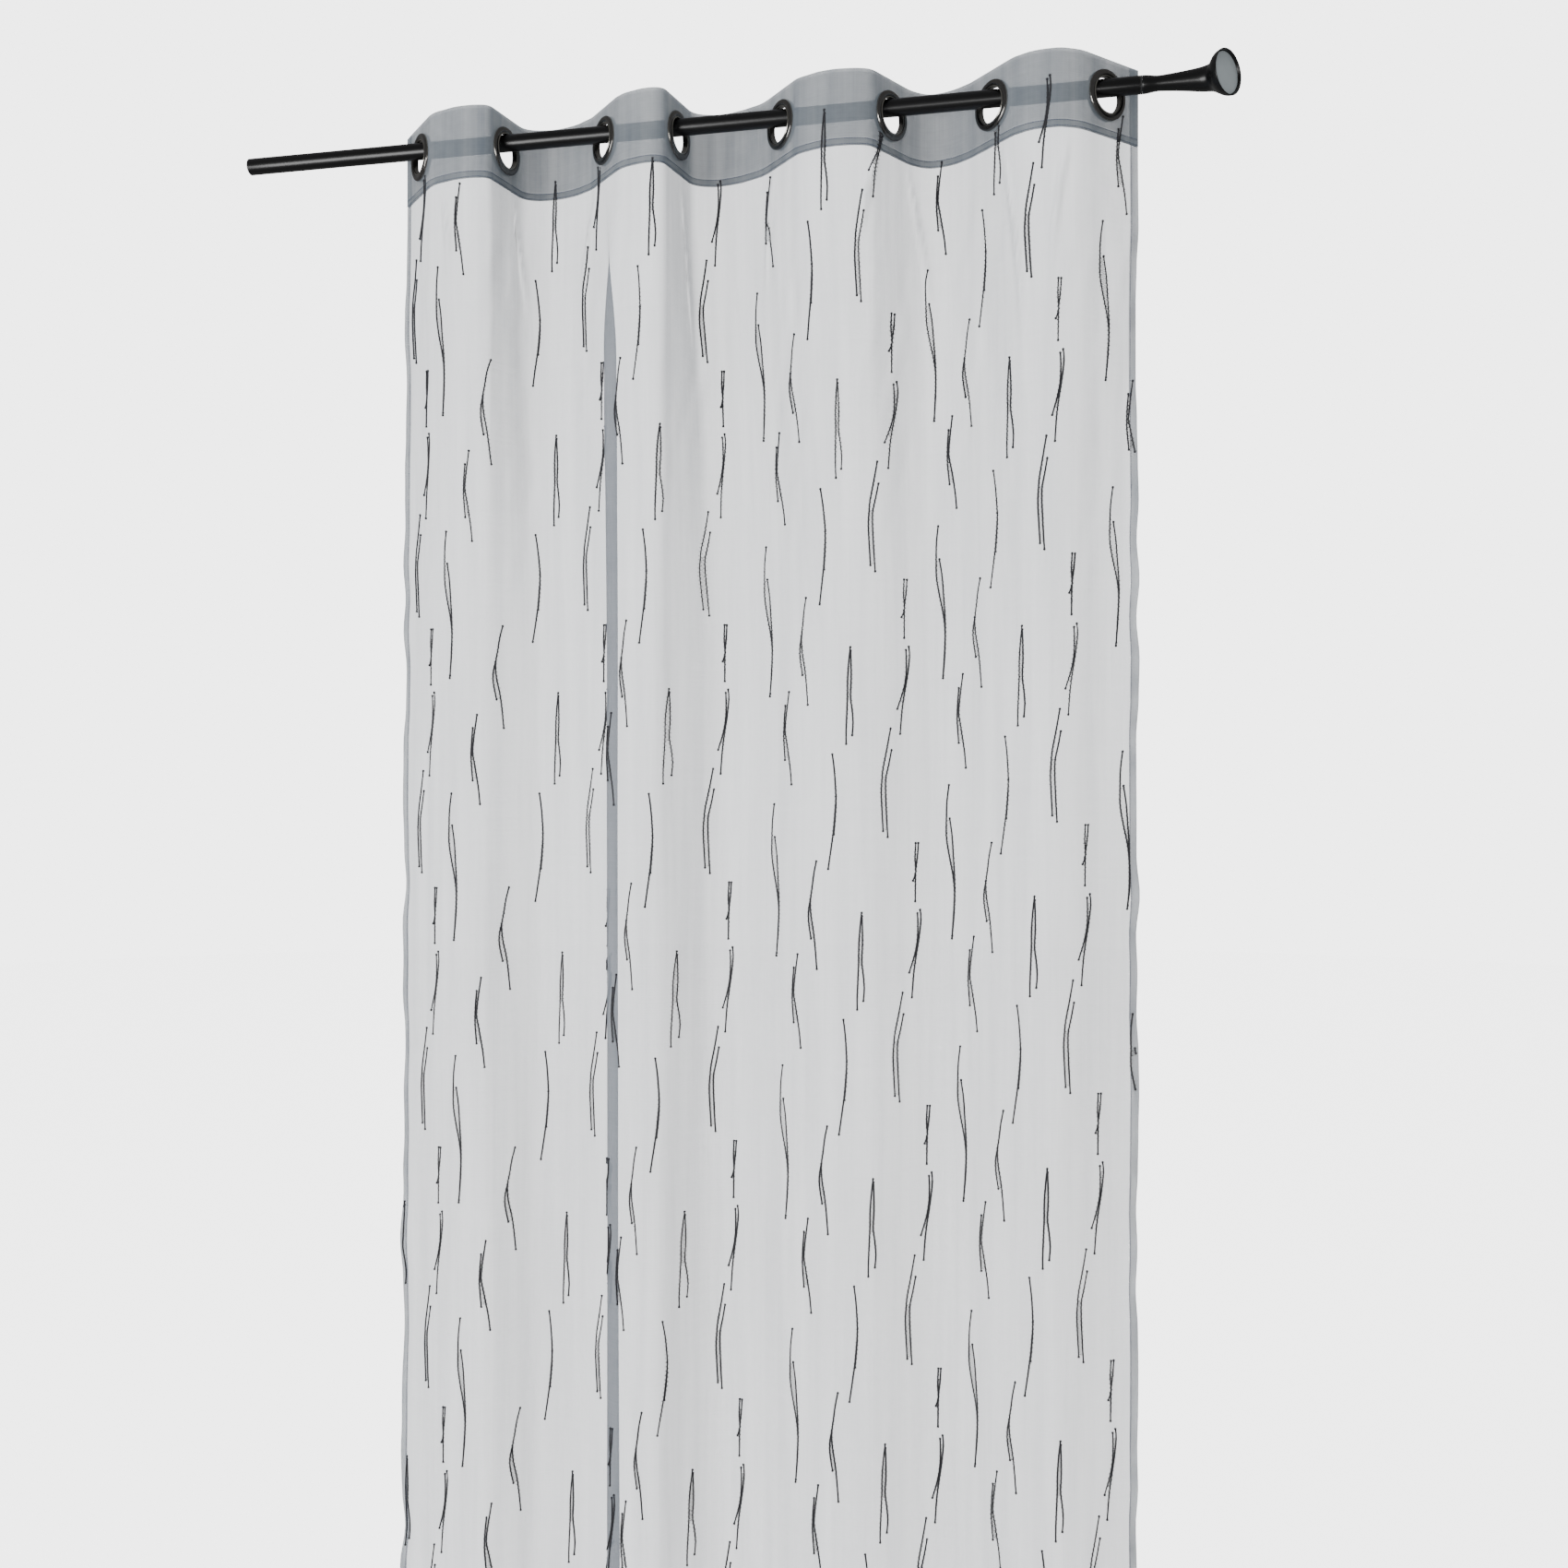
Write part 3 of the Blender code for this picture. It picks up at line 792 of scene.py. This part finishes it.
def on_cloth(s, d, out=0.0):
    """Points of the hanging cloth, moved out of its middle towards the room."""
    s, d, out = np.broadcast_arrays(np.asarray(s, float), np.asarray(d, float), out)
    x, y = plan(s, d)
    before, after = plan(s - plan_step, d), plan(s + plan_step, d)
    ahead_x, ahead_y = after[0] - before[0], after[1] - before[1]
    length = np.hypot(ahead_x, ahead_y)
    return np.stack([x + ahead_y / length * out, y - ahead_x / length * out, cloth_top - d], axis=-1)


def laid(name, along, down, out, unrolled, finish, slant, facing_up=False, holes=()):
    """A sheet on a grid of places on the cloth, with its flat place as its UV map."""
    points = on_cloth(along, down, out)
    height, width = down.shape
    index = np.arange(height * width).reshape(height, width)
    a, b = index[:-1, :-1].ravel(), index[:-1, 1:].ravel()
    c, e = index[1:, 1:].ravel(), index[1:, :-1].ravel()
    faces = np.column_stack([a, b, c, e] if facing_up else [e, c, b, a])
    for s0, d0, radius in holes:
        middle_s, middle_d = along.ravel()[faces].mean(axis=1), down.ravel()[faces].mean(axis=1)
        faces = faces[np.hypot(middle_s - s0, middle_d - d0) > radius]
    mesh = bpy.data.meshes.new(name)
    mesh.from_pydata(points.reshape(-1, 3).tolist(), [], faces.tolist())
    flat = np.column_stack([along.ravel(), unrolled.ravel()])
    corners = np.empty(len(mesh.loops), np.int32)
    mesh.loops.foreach_get("vertex_index", corners)
    mesh.uv_layers.new(name="flat").data.foreach_set("uv", flat[corners].ravel())
    mesh.attributes.new("slant", "FLOAT", "POINT").data.foreach_set("value", slant.ravel())
    piece = put(name, mesh, finish, sharp=None)
    loose = bmesh.new()
    loose.from_mesh(mesh)
    bmesh.ops.delete(loose, geom=[v for v in loose.verts if not v.link_faces], context="VERTS")
    loose.to_mesh(mesh)
    loose.free()
    return piece


def woven(name, s, rows, finish, facing_up=False, holes=(), hemmed=0.0):
    """A sheet from rows of (distance down, distance out).

    Rows run downwards, or upwards on a fold that starts at its front's lower edge. Hemmed is how
    far in from its sides a hem lies inside it, so that it is denser there.
    """
    rows = np.array(rows)
    out = np.meshgrid(s, rows[:, 1])[1]
    travelled = np.concatenate([[0], np.cumsum(np.hypot(*np.diff(rows, axis=0).T))])
    unrolled = np.meshgrid(s, travelled)[1]
    along, down = punched(*np.meshgrid(s, rows[:, 0]), holes)
    x, y = plan(along + plan_step, down)
    x0, y0 = plan(along - plan_step, down)
    face_on = np.abs(x - x0) / np.hypot(x - x0, y - y0)
    folded_in = np.minimum(along, cloth_width - along) < hemmed
    slant = 1 - face_on + hem_density * folded_in
    return laid(name, along, down, out, unrolled, finish, slant, facing_up, holes)


def punched(along, down, holes):
    """Move the points near each hole's edge onto it, so that the hole is cut round."""
    along, down = along.copy(), down.copy()
    for s0, d0, radius in holes:
        ds, dd = along - s0, down - d0
        far = np.hypot(ds, dd)
        near = np.abs(far - radius) < punch_reach
        along[near] = s0 + ds[near] / far[near] * radius
        down[near] = d0 + dd[near] / far[near] * radius
    return along, down


def voile(name, cover, slanted_cover, deep, pale, streak_and_fold_shading):
    """Plain-woven voile: fine threads, uneven slub yarns, soft streaks, and gaps that show through.

    Cover is how much one layer hides; where the cloth turns edge-on, more threads overlap. The streaks
    and blotches are partly uneven yarn tone and partly painted light and shade of the folds.
    """
    made = Finish(name, roughness=0.86, specular_ior_level=0.2, sheen_weight=0.25, sheen_roughness=0.4)
    flat = made.place("UV")
    weave_sockets = {"Vector": flat, "Scale": 290.0, "Distortion": 0.6, "Detail": 1.0}
    warp, weft = (
        made.add("ShaderNodeTexWave", {"bands_direction": way}, weave_sockets, "Fac") for way in "XY"
    )
    slub_warp = made.cloud(made.place("UV", scale=(900, 9, 1)), 1.0, 2.0, 0.6)
    slub_weft = made.cloud(made.place("UV", scale=(8, 800, 1)), 1.0, 2.0, 0.6)
    # Streaks and blotches: partly uneven tone in the yarn, partly painted light and shade of the folds.
    streaks_and_fold_shading = made.between(made.cloud(made.place("UV", scale=(40, 1.8, 1)), 1.0, 3.0, 0.6), 0.34, 0.66)
    blotch_and_fold_shading = made.between(made.cloud(flat, 22, 3.0, 0.6), 0.30, 0.70)
    yarn = slub_warp * 0.5 + slub_weft * 0.5
    slant = made.add("ShaderNodeAttribute", {"attribute_name": "slant"}, {}, "Fac")
    shade = yarn * 0.30 + streaks_and_fold_shading * streak_and_fold_shading + blotch_and_fold_shading * (streak_and_fold_shading * 0.5) + (warp + weft) * 0.05
    made.coat_with(
        base_color=made.mix(shade, deep, pale),
        roughness=0.80 + yarn * 0.14,
        alpha=cover - 0.10 + yarn * 0.14 + (warp + weft) * 0.025 + slant**1.4 * slanted_cover
        - streaks_and_fold_shading * streak_and_fold_shading * 0.10,
    )
    made.relief((warp + weft) * 0.35 + yarn * 0.5, 0.00018)
    return made.material


voile_deep, voile_pale = colour(0.17, 0.20, 0.25), colour(0.38, 0.41, 0.45)
single_voile = voile("sheer_voile", 0.70, 0.22, voile_deep, voile_pale, 0.35)
cloth_out = 0.00055
column_pitch = 0.0032
row_pitch = 0.017


def evenly(start, end, pitch):
    """Places from start to end, at the pitch that fits nearest."""
    return np.linspace(start, end, int(round((end - start) / pitch)) + 1)


hem_top = drop - bottom_hem
panel_s = evenly(side_hem, cloth_width - side_hem, column_pitch)
panel_rows = [(d, cloth_out) for d in evenly(header_height, hem_top, row_pitch)]
panel = woven("sheer_panel", panel_s, panel_rows, single_voile)


def hangs(piece, node):
    """What every part of the cloth does: it swings, and gathers with its eyelets."""
    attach(piece, "curtain")
    if node:
        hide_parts(node)
    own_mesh(piece)


hangs(panel, "curtain_panel")

# ------------------------------
# Side hems: each edge of the panel is turned over once more to the back and sewn down, so it is
# double, a little puckered, and wavier than the cloth beside it.

doubled_deep, doubled_pale = colour(0.15, 0.18, 0.23), colour(0.34, 0.38, 0.42)
doubled_voile = voile("doubled_voile", 0.68, 0.26, doubled_deep, doubled_pale, 0.4)
hem_out = 0.00055
hem_back_share = 0.94
hem_columns = 6
hem_row_pitch = 0.012


def turned_edge(name, inner, edge, facing_up):
    """A hem folded about its outer edge: front layer, rounded fold, back layer."""
    across = [(inner + (edge - inner) * share, hem_out) for share in np.linspace(0, 1, hem_columns)]
    across += [(edge, 0.0)]
    back_shares = np.linspace(0, hem_back_share, hem_columns)
    across += [(edge + (inner - edge) * share, -hem_out) for share in back_shares]
    d = evenly(header_height, hem_top, hem_row_pitch)
    along, down = np.meshgrid([place for place, _ in across], d)
    out = np.meshgrid([reach for _, reach in across], d)[0]
    crinkle = 0.25 + 0.22 * ripple(along, down, (0.011, 0.022), 21)
    return laid(name, along, down, out, down, doubled_voile, np.maximum(crinkle, 0), facing_up)


left_hem = turned_edge("left_hem_fold", side_hem, 0.0, True)
right_hem = turned_edge("right_hem_fold", cloth_width - side_hem, cloth_width, False)
for hem, node in ((left_hem, "side_hem_left"), (right_hem, "side_hem_right")):
    hangs(hem, node)

# ------------------------------
# Bottom hem: the voile is turned up to the back, so it is double all the way down. Its raw edge
# is tucked in, and it is sewn once across.

hem_s = evenly(0, cloth_width, column_pitch)
hem_fold = 0.0008
hem_tuck = 0.010
hem_pitch = 0.008
hem_straight = drop - 0.0012
hem_turn = [(drop - 0.0004, 0.0006), (drop, 0.0), (drop - 0.0004, -0.0006)]
hem_tucked = [(hem_top, -0.0003), (hem_top + 0.0012, 0.0), (hem_top + hem_tuck, 0.0)]
hem_front = [(d, hem_fold) for d in evenly(hem_top, hem_straight, hem_pitch)]
hem_back = [(d, -hem_fold) for d in evenly(hem_top + 0.0006, hem_straight, hem_pitch)[::-1]]
hem_rows = hem_front + hem_turn + hem_back + hem_tucked
lower_hem = woven("bottom_hem_fold", hem_s, hem_rows, doubled_voile)
hangs(lower_hem, "bottom_hem")

# ------------------------------
# Header: the panel's top is turned over to the back round a stiffening tape, its raw edge tucked
# in, and sewn along the bottom. The eyelets are set through all its layers.

header_deep, header_pale = colour(0.10, 0.13, 0.17), colour(0.29, 0.32, 0.345)
header_voile = voile("header_voile", 0.76, 0.20, header_deep, header_pale, 0.55)
layer_out = 0.0009
header_tuck = 0.009
header_pitch = 0.0036
punch_radius = 0.0240
holes = [(s, cloth_top - centre.z, punch_radius) for s, (centre, _) in zip(eyelet_s, eyelets)]
header_s = evenly(0, cloth_width, header_pitch)
face_rows = evenly(0.0010, header_height, header_pitch)
header_front = [(d, layer_out) for d in face_rows[::-1]]
header_turn = [(0.0003, 0.0006), (0.0, 0.0), (0.0003, -0.0006)]
header_back = [(d, -layer_out) for d in face_rows]
header_tucked = [(header_height, -0.0006), (header_height - 0.0010, -0.00045)]
header_tucked += [(header_height - header_tuck, -0.00045)]
header_rows = header_front + header_turn + header_back + header_tucked
header = woven("header_fold", header_s, header_rows, header_voile, True, holes, hemmed=side_hem)
hangs(header, "header_band")

tape_fibre = Finish("nonwoven_tape", roughness=0.9, specular_ior_level=0.15)
tape_place = tape_fibre.place("UV")
tape_mat = tape_fibre.cloud(tape_place, 700, 4.0, 0.7)
bond_sockets = {"Vector": tape_place, "Scale": 420.0}
tape_bond = tape_fibre.add("ShaderNodeTexVoronoi", {"feature": "F1"}, bond_sockets, "Distance")
tape_fibre.coat_with(
    base_color=tape_fibre.mix(tape_mat, colour(0.46, 0.49, 0.51), colour(0.62, 0.65, 0.67)),
    alpha=0.20 + tape_mat * 0.22 + tape_bond * 0.05,
)
tape_fibre.relief(tape_mat * 0.6 + tape_bond * 0.4, 0.0002)
tape_margin = 0.004
tape_s = evenly(side_hem, cloth_width - side_hem, header_pitch)
tape_end = header_height - header_tuck - 0.001
tape_rows = [(d, 0.0) for d in evenly(tape_margin, tape_end, header_pitch)]
tape = woven("header_stiffener", tape_s, tape_rows, tape_fibre.material, holes=holes)
hangs(tape, "header_tape")

# ------------------------------
# Machine sewing: rows of short lock stitches in blue-grey polyester hold the header, the side
# hems and the bottom hem.


class Pattern(Nodes):
    """A geometry tree with named inputs, which makes what repeats along a line."""

    def __init__(self, name, **inputs):
        super().__init__(bpy.data.node_groups.new(name, "GeometryNodeTree"))
        face = self.tree.interface
        face.new_socket("Lines", in_out="INPUT", socket_type="NodeSocketGeometry")
        self.inputs = {
            label: face.new_socket(label.replace("_", " ").title(), in_out="INPUT", socket_type=kind)
            for label, kind in inputs.items()
        }
        face.new_socket("Geometry", in_out="OUTPUT", socket_type="NodeSocketGeometry")
        self.start = self.tree.nodes.new("NodeGroupInput")
        self.end = self.tree.nodes.new("NodeGroupOutput")

    def given(self, label):
        """An input's value inside the tree."""
        return Value(self, self.start.outputs[self.inputs[label].name])

    def lines(self):
        return Value(self, self.start.outputs["Lines"])

    def finish(self, geometry):
        """End the tree: real geometry, in the material it is given."""
        real = self.add("GeometryNodeRealizeInstances", {}, {"Geometry": geometry})
        sockets = {"Geometry": real, "Material": self.given("thread")}
        self.feed(self.end.inputs["Geometry"], self.add("GeometryNodeSetMaterial", {}, sockets))

    def sew(self, name, lines, finish, **values):
        """Run the tree on lines of points and return the result as a plain mesh piece."""
        points, edges = [], []
        for line in lines:
            first = len(points)
            points += [tuple(point) for point in line]
            edges += [(first + i, first + i + 1) for i in range(len(line) - 1)]
        mesh = bpy.data.meshes.new(name + "_lines")
        mesh.from_pydata(points, edges, [])
        holder = bpy.data.objects.new(name + "_lines", mesh)
        bpy.context.scene.collection.objects.link(holder)
        run = holder.modifiers.new("pattern", "NODES")
        run.node_group = self.tree
        for label, value in {**values, "thread": finish}.items():
            run[self.inputs[label].identifier] = value
        view = bpy.context.evaluated_depsgraph_get()
        result = bpy.data.meshes.new_from_object(holder.evaluated_get(view))
        result.name = name
        bpy.data.objects.remove(holder)
        return put(name, result, finish, sharp=None)


def thread_finish(name, deep, pale, gloss):
    """Twisted polyester thread: plies that catch the light, with a soft uneven dye."""
    made = Finish(name, specular_ior_level=0.4, sheen_weight=0.2, sheen_roughness=0.3)
    place = made.place()
    ply = made.cloud(place, 2200, 2.0, 0.6)
    dye = made.cloud(place, 30, 3.0, 0.6)
    made.coat_with(base_color=made.mix(ply * 0.5 + dye * 0.5, deep, pale), roughness=gloss + ply * 0.2)
    made.relief(ply, 0.0001)
    return made.material


stitches = Pattern(
    "lock_stitches",
    pitch="NodeSocketFloat",
    stitch_length="NodeSocketFloat",
    thread_radius="NodeSocketFloat",
    thread="NodeSocketMaterial",
)
seam = stitches.add("GeometryNodeMeshToCurve", {}, {"Mesh": stitches.lines()})
spot_sockets = {"Curve": seam, "Length": stitches.given("pitch")}
spots = stitches.add("GeometryNodeCurveToPoints", {"mode": "LENGTH"}, spot_sockets)
spot_turn = Value(stitches, spots.socket.node.outputs["Rotation"])
bead_mesh = stitches.add("GeometryNodeMeshUVSphere", {}, {"Segments": 6, "Rings": 4, "Radius": 1.0})
thread_width = stitches.given("thread_radius")
half_length = stitches.given("stitch_length") * 0.5
bead_sockets = {"X": thread_width, "Y": thread_width, "Z": half_length}
bead_size = stitches.add("ShaderNodeCombineXYZ", {}, bead_sockets)
stitch = stitches.add("GeometryNodeTransform", {}, {"Geometry": bead_mesh, "Scale": bead_size})
uneven_sockets = {2: 0.86, 3: 1.12, "Seed": 4}
uneven = stitches.add("FunctionNodeRandomValue", {"data_type": "FLOAT"}, uneven_sockets, 1)
sewn_sockets = {"Points": spots, "Instance": stitch, "Rotation": spot_turn, "Scale": uneven}
stitches.finish(stitches.add("GeometryNodeInstanceOnPoints", {}, sewn_sockets))

seam_thread = thread_finish("seam_thread", colour(0.03, 0.045, 0.10), colour(0.08, 0.11, 0.19), 0.45)
seam_out = 0.0011
seam_inset = 0.0014
seam_end = 0.003
seam_pitch_along = 0.004
seam_pitch_down = 0.010


def seam_along(d):
    """A seam across the cloth, at one distance down."""
    return on_cloth(evenly(seam_end, cloth_width - seam_end, seam_pitch_along), d, seam_out)


def seam_down(s):
    """A seam down the cloth, at one distance along."""
    return on_cloth(s, evenly(header_height + 0.001, hem_top, seam_pitch_down), seam_out)


seams = [
    seam_along(header_height - seam_inset),
    seam_along(header_height - header_tuck + 0.0012),
    seam_along(hem_top + seam_inset),
    seam_down(side_hem - seam_inset),
    seam_down(cloth_width - side_hem + seam_inset),
]
sewing = stitches.sew(
    "seam_stitches", seams, seam_thread, pitch=0.0030, stitch_length=0.0026, thread_radius=0.00038
)
hangs(sewing, None)

# ------------------------------
# Embroidery: sparse upright sprigs in dark grey thread, each of two long stems that cross or
# part, filled with satin stitch, tied by a fine zigzag and knotted at the tips. The same eight
# sprigs repeat down each column.

# Each sprig, in millimetres: its place from the column's; where its zigzag starts and ends down
# its height, and the zigzag's pitch; then two stems of (across, down) from its place.
sprigs = {
    "lens": (
        (0, 0), (41, 128, 1.3),
        ((0, 0), (-2.4, 20), (-3, 40), (-3, 60), (0, 80), (5, 105), (7, 125), (6, 150), (4, 179)),
        ((1, 39), (4, 60), (5.6, 84), (7, 105), (7.4, 125), (6.6, 150), (4.4, 176)),
    ),
    "leaf": (
        (56, 66), (46, 90, 1.2),
        ((0, 0), (-3, 15), (-5, 31), (-7, 46), (-6, 64), (-3, 82), (-1, 100), (1, 125)),
        ((-7, 44), (-9, 55), (-9.4, 66), (-8, 78), (-6, 90)),
    ),
    "fork": (
        (109, 125), (6, 62, 1.1),
        ((0, 0), (-1.8, 17), (-3.2, 37), (-3.4, 57), (-4.2, 78), (-5, 98), (-5, 112)),
        ((0.4, 4), (0.8, 17), (1, 37), (0.2, 57), (2, 73), (3, 88), (2, 102)),
    ),
    "cross": (
        (167, 45), (12, 42, 1.2),
        ((0, 0), (-0.8, 19), (0, 34), (-3, 44)),
        ((3, 0), (2, 16), (0, 34), (-0.5, 68)),
    ),
    "bow": (
        (169, 123), (10, 66, 1.1),
        ((0, 4), (0.4, 15), (0, 34), (-3, 52), (-9, 73)),
        ((3, 0), (4, 11), (2, 31), (-1.4, 54), (-4, 74), (-6, 102)),
    ),
    "feather": (
        (33, 175), (17, 78, 1.1),
        ((0, 0), (-2, 15), (-4, 31), (-5, 46), (-3, 58), (0, 76), (2.4, 92), (4, 109)),
        ((-5, 16), (-6.4, 33), (-7, 52), (-6, 68), (-5, 80)),
    ),
    "twig": (
        (88, 249), (51, 92, 1.3),
        ((0, 0), (1.8, 14), (3, 28), (4, 50), (2.8, 70), (1, 90), (-2, 112), (-5, 133)),
        ((4, 49), (4, 60), (3, 76), (1.6, 93)),
    ),
    "blade": (
        (153, 219), (56, 118, 1.1),
        ((0, 0), (-4, 24), (-8, 46), (-9, 57), (-10, 73), (-9.2, 95), (-8, 119)),
        ((1, 25), (-2, 42), (-5, 57), (-5.4, 70), (-5, 84), (-4, 107), (-3, 126)),
    ),
}
# Each column: the place of its lens, how far down it starts, how far one repeat is below the
# last, how far it leans across in one repeat, how much higher its own lens sits, how widely its
# sprigs spread, and how much lower its right half sits.
columns_of_sprigs = (
    (-0.4890, 0.245, 0.3180, 0.006, 0.0, 1.10, 0.020),
    (-0.2810, 0.239, 0.3200, 0.006, 0.049, 1.16, 0.022),
    (-0.0995, 0.248, 0.3110, 0.007, 0.0, 0.92, 0.022),
    (0.1030, 0.2277, 0.3073, 0.013, 0.0, 1.0, 0.0),
    (0.3066, 0.2115, 0.3040, 0.014, 0.0, 0.94, 0.0),
    (0.5106, 0.1834, 0.2990, 0.011, 0.0, 1.0, 0.0),
)
sprig_rows = range(-1, 8)
right_half = 0.080
first_sprig = 0.020
sprig_spread = 0.07
lap_margin = 0.004
thread_out = 0.0011
knot_free = 0.004
ring_free = 0.002


def flowing(points, step=6.0):
    """A smooth line through a stem's points, as fine points, in millimetres."""
    path = np.array(points, float)
    padded = np.vstack([2 * path[0] - path[1], path, 2 * path[-1] - path[-2]])
    fine = []
    for i in range(1, len(padded) - 2):
        p0, p1, p2, p3 = padded[i - 1 : i + 3]
        for t in np.arange(0, 1, min(step / np.hypot(*(p2 - p1)), 0.5)):
            a, b = 2 * p1, p2 - p0
            c, e = 2 * p0 - 5 * p1 + 4 * p2 - p3, -p0 + 3 * p1 - 3 * p2 + p3
            fine.append((a + b * t + c * t * t + e * t**3) / 2)
    fine.append(path[-1])
    return np.array(fine)


hung_s = np.linspace(0, cloth_width, 1200)


def hung_row(d):
    """The hung cloth across one height: its places, and where the lap's two layers start."""
    hung_x = plan(hung_s, d + 0 * hung_s)[0]
    lap_start = int(np.argmax(np.where(hung_s < lap_centre, hung_x, -np.inf)))
    lap_end = int(np.argmin(np.where(hung_s > lap_centre, hung_x, np.inf)))
    return hung_x, lap_start, lap_end


def along_cloth(x, row):
    """How far along the cloth a place across the hung curtain is, on the layer that shows."""
    hung_x, lap_start, lap_end = row
    before = np.interp(x, hung_x[: lap_start + 1], hung_s[: lap_start + 1])
    after = np.interp(x, hung_x[lap_end:], hung_s[lap_end:])
    return np.where(x < hung_x[lap_end], before, after)


def sewable(s, d):
    """Where a needle can go: on the cloth, and clear of the eyelets."""
    free = (s > knot_free) & (s < cloth_width - knot_free) & (d > knot_free) & (d < drop - knot_free)
    for s0, d0, _ in holes:
        free &= np.hypot(s - s0, d - d0) > eyelet_rim + ring_free
    return free


def sewn_on(flat_lines):
    """Lines on the flat cloth, left out where a needle can't go, as points on the hung cloth."""
    kept = []
    for s, d in flat_lines:
        free = sewable(s, d)
        for part in np.split(np.arange(len(s)), np.flatnonzero(np.diff(free.astype(int))) + 1):
            if free[part[0]] and len(part) > 1:
                kept.append(np.column_stack([s[part], d[part]]))
    flat = np.vstack(kept)
    ends = np.cumsum([len(line) for line in kept])[:-1]
    return np.split(on_cloth(flat[:, 0], flat[:, 1], thread_out), ends)


satin_pitch = 0.0024
satin_width = 0.0016


def satin_over(line):
    """A zigzag to and fro over one stem, widest in its middle."""
    length = np.ptp(line[:, 1])
    travelled = np.linspace(0, 1, int(length / satin_pitch))
    height = line[0, 1] + length * travelled
    swell = satin_width * (4 * travelled * (1 - travelled)) ** 0.6
    sway = swell * np.where(np.arange(len(travelled)) % 2, 1, -1)
    return np.column_stack([np.interp(height, line[:, 1], line[:, 0]) + sway, height])


def zigzag_between(lines, start, end, pitch):
    """A zigzag that ties two stems together between two heights."""
    heights = np.arange(start, end, pitch)
    first, second = (np.interp(heights, line[:, 1], line[:, 0]) for line in lines)
    return np.column_stack([np.where(np.arange(len(heights)) % 2, first, second), heights])


stems, satin, zigzags = [], [], []
for place, top, repeat, lean, lift, spread, sag in columns_of_sprigs:
    for row in sprig_rows:
        for name, (spot, tied, *stem_points) in sprigs.items():
            across, down = (v / 1000 for v in spot)
            x = place + across * spread + lean * row
            d = top + down + repeat * row - (lift if name == "lens" else 0)
            d += sag if across > right_half else 0
            if not first_sprig <= d < drop:
                continue
            hung = hung_row(d)
            lap_x = hung[0][hung[2]]
            if place < lap_x < place + sprig_spread and x < lap_x + lap_margin:
                continue
            pair = [flowing(stem) / 1000 for stem in stem_points]
            tie = zigzag_between(pair, *(v / 1000 for v in tied))
            for sewn, lines in ((stems, pair), (satin, map(satin_over, pair)), (zigzags, [tie])):
                sewn += [(along_cloth(x + line[:, 0], hung), d + line[:, 1]) for line in lines]

threads = Pattern(
    "thread_lines",
    thread_radius="NodeSocketFloat",
    knot_radius="NodeSocketFloat",
    swell="NodeSocketFloat",
    thread_sides="NodeSocketInt",
    thread="NodeSocketMaterial",
)
thread_curve = threads.add("GeometryNodeMeshToCurve", {}, {"Mesh": threads.lines()})
section_sockets = {"Resolution": threads.given("thread_sides"), "Radius": threads.given("thread_radius")}
thread_section = threads.add("GeometryNodeCurvePrimitiveCircle", {"mode": "RADIUS"}, section_sockets)
along = threads.add("GeometryNodeSplineParameter", {}, {})
body = 0.55 + threads.given("swell") * (4 * along * (1 - along)) ** 0.7
thread_swelled = threads.add("GeometryNodeSetCurveRadius", {}, {"Curve": thread_curve, "Radius": body})
tube_sockets = {"Curve": thread_swelled, "Profile Curve": thread_section, "Fill Caps": True}
thread_tubes = threads.add("GeometryNodeCurveToMesh", {}, tube_sockets)
tips = threads.add("GeometryNodeCurveEndpointSelection", {}, {"Start Size": 1, "End Size": 1})
knot_sockets = {"Radius": threads.given("knot_radius"), "Subdivisions": 1}
knot = threads.add("GeometryNodeMeshIcoSphere", {}, knot_sockets)
tip_sockets = {"Points": thread_curve, "Selection": tips, "Instance": knot}
knots = threads.add("GeometryNodeInstanceOnPoints", {}, tip_sockets)
joined = threads.tree.nodes.new("GeometryNodeJoinGeometry")
for part in (thread_tubes, knots):
    threads.feed(joined.inputs["Geometry"], part)
threads.finish(Value(threads, joined.outputs["Geometry"]))

thread_deep, thread_pale = colour(0.012, 0.013, 0.017), colour(0.05, 0.052, 0.06)
dark_thread = thread_finish("embroidery_thread", thread_deep, thread_pale, 0.4)
for name, lines, radius, knot_size, swell, sides in (
    ("embroidered_stems", stems, 0.00105, 0.0017, 0.60, 4),
    ("embroidered_satin", satin, 0.00042, 0.0005, 0.45, 3),
    ("embroidered_zigzags", zigzags, 0.00050, 0.0006, 0.45, 3),
):
    sizes = {"thread_radius": radius, "knot_radius": knot_size, "swell": swell, "thread_sides": sides}
    sewn_piece = threads.sew(name, sewn_on(lines), dark_thread, **sizes)
    hangs(sewn_piece, None)
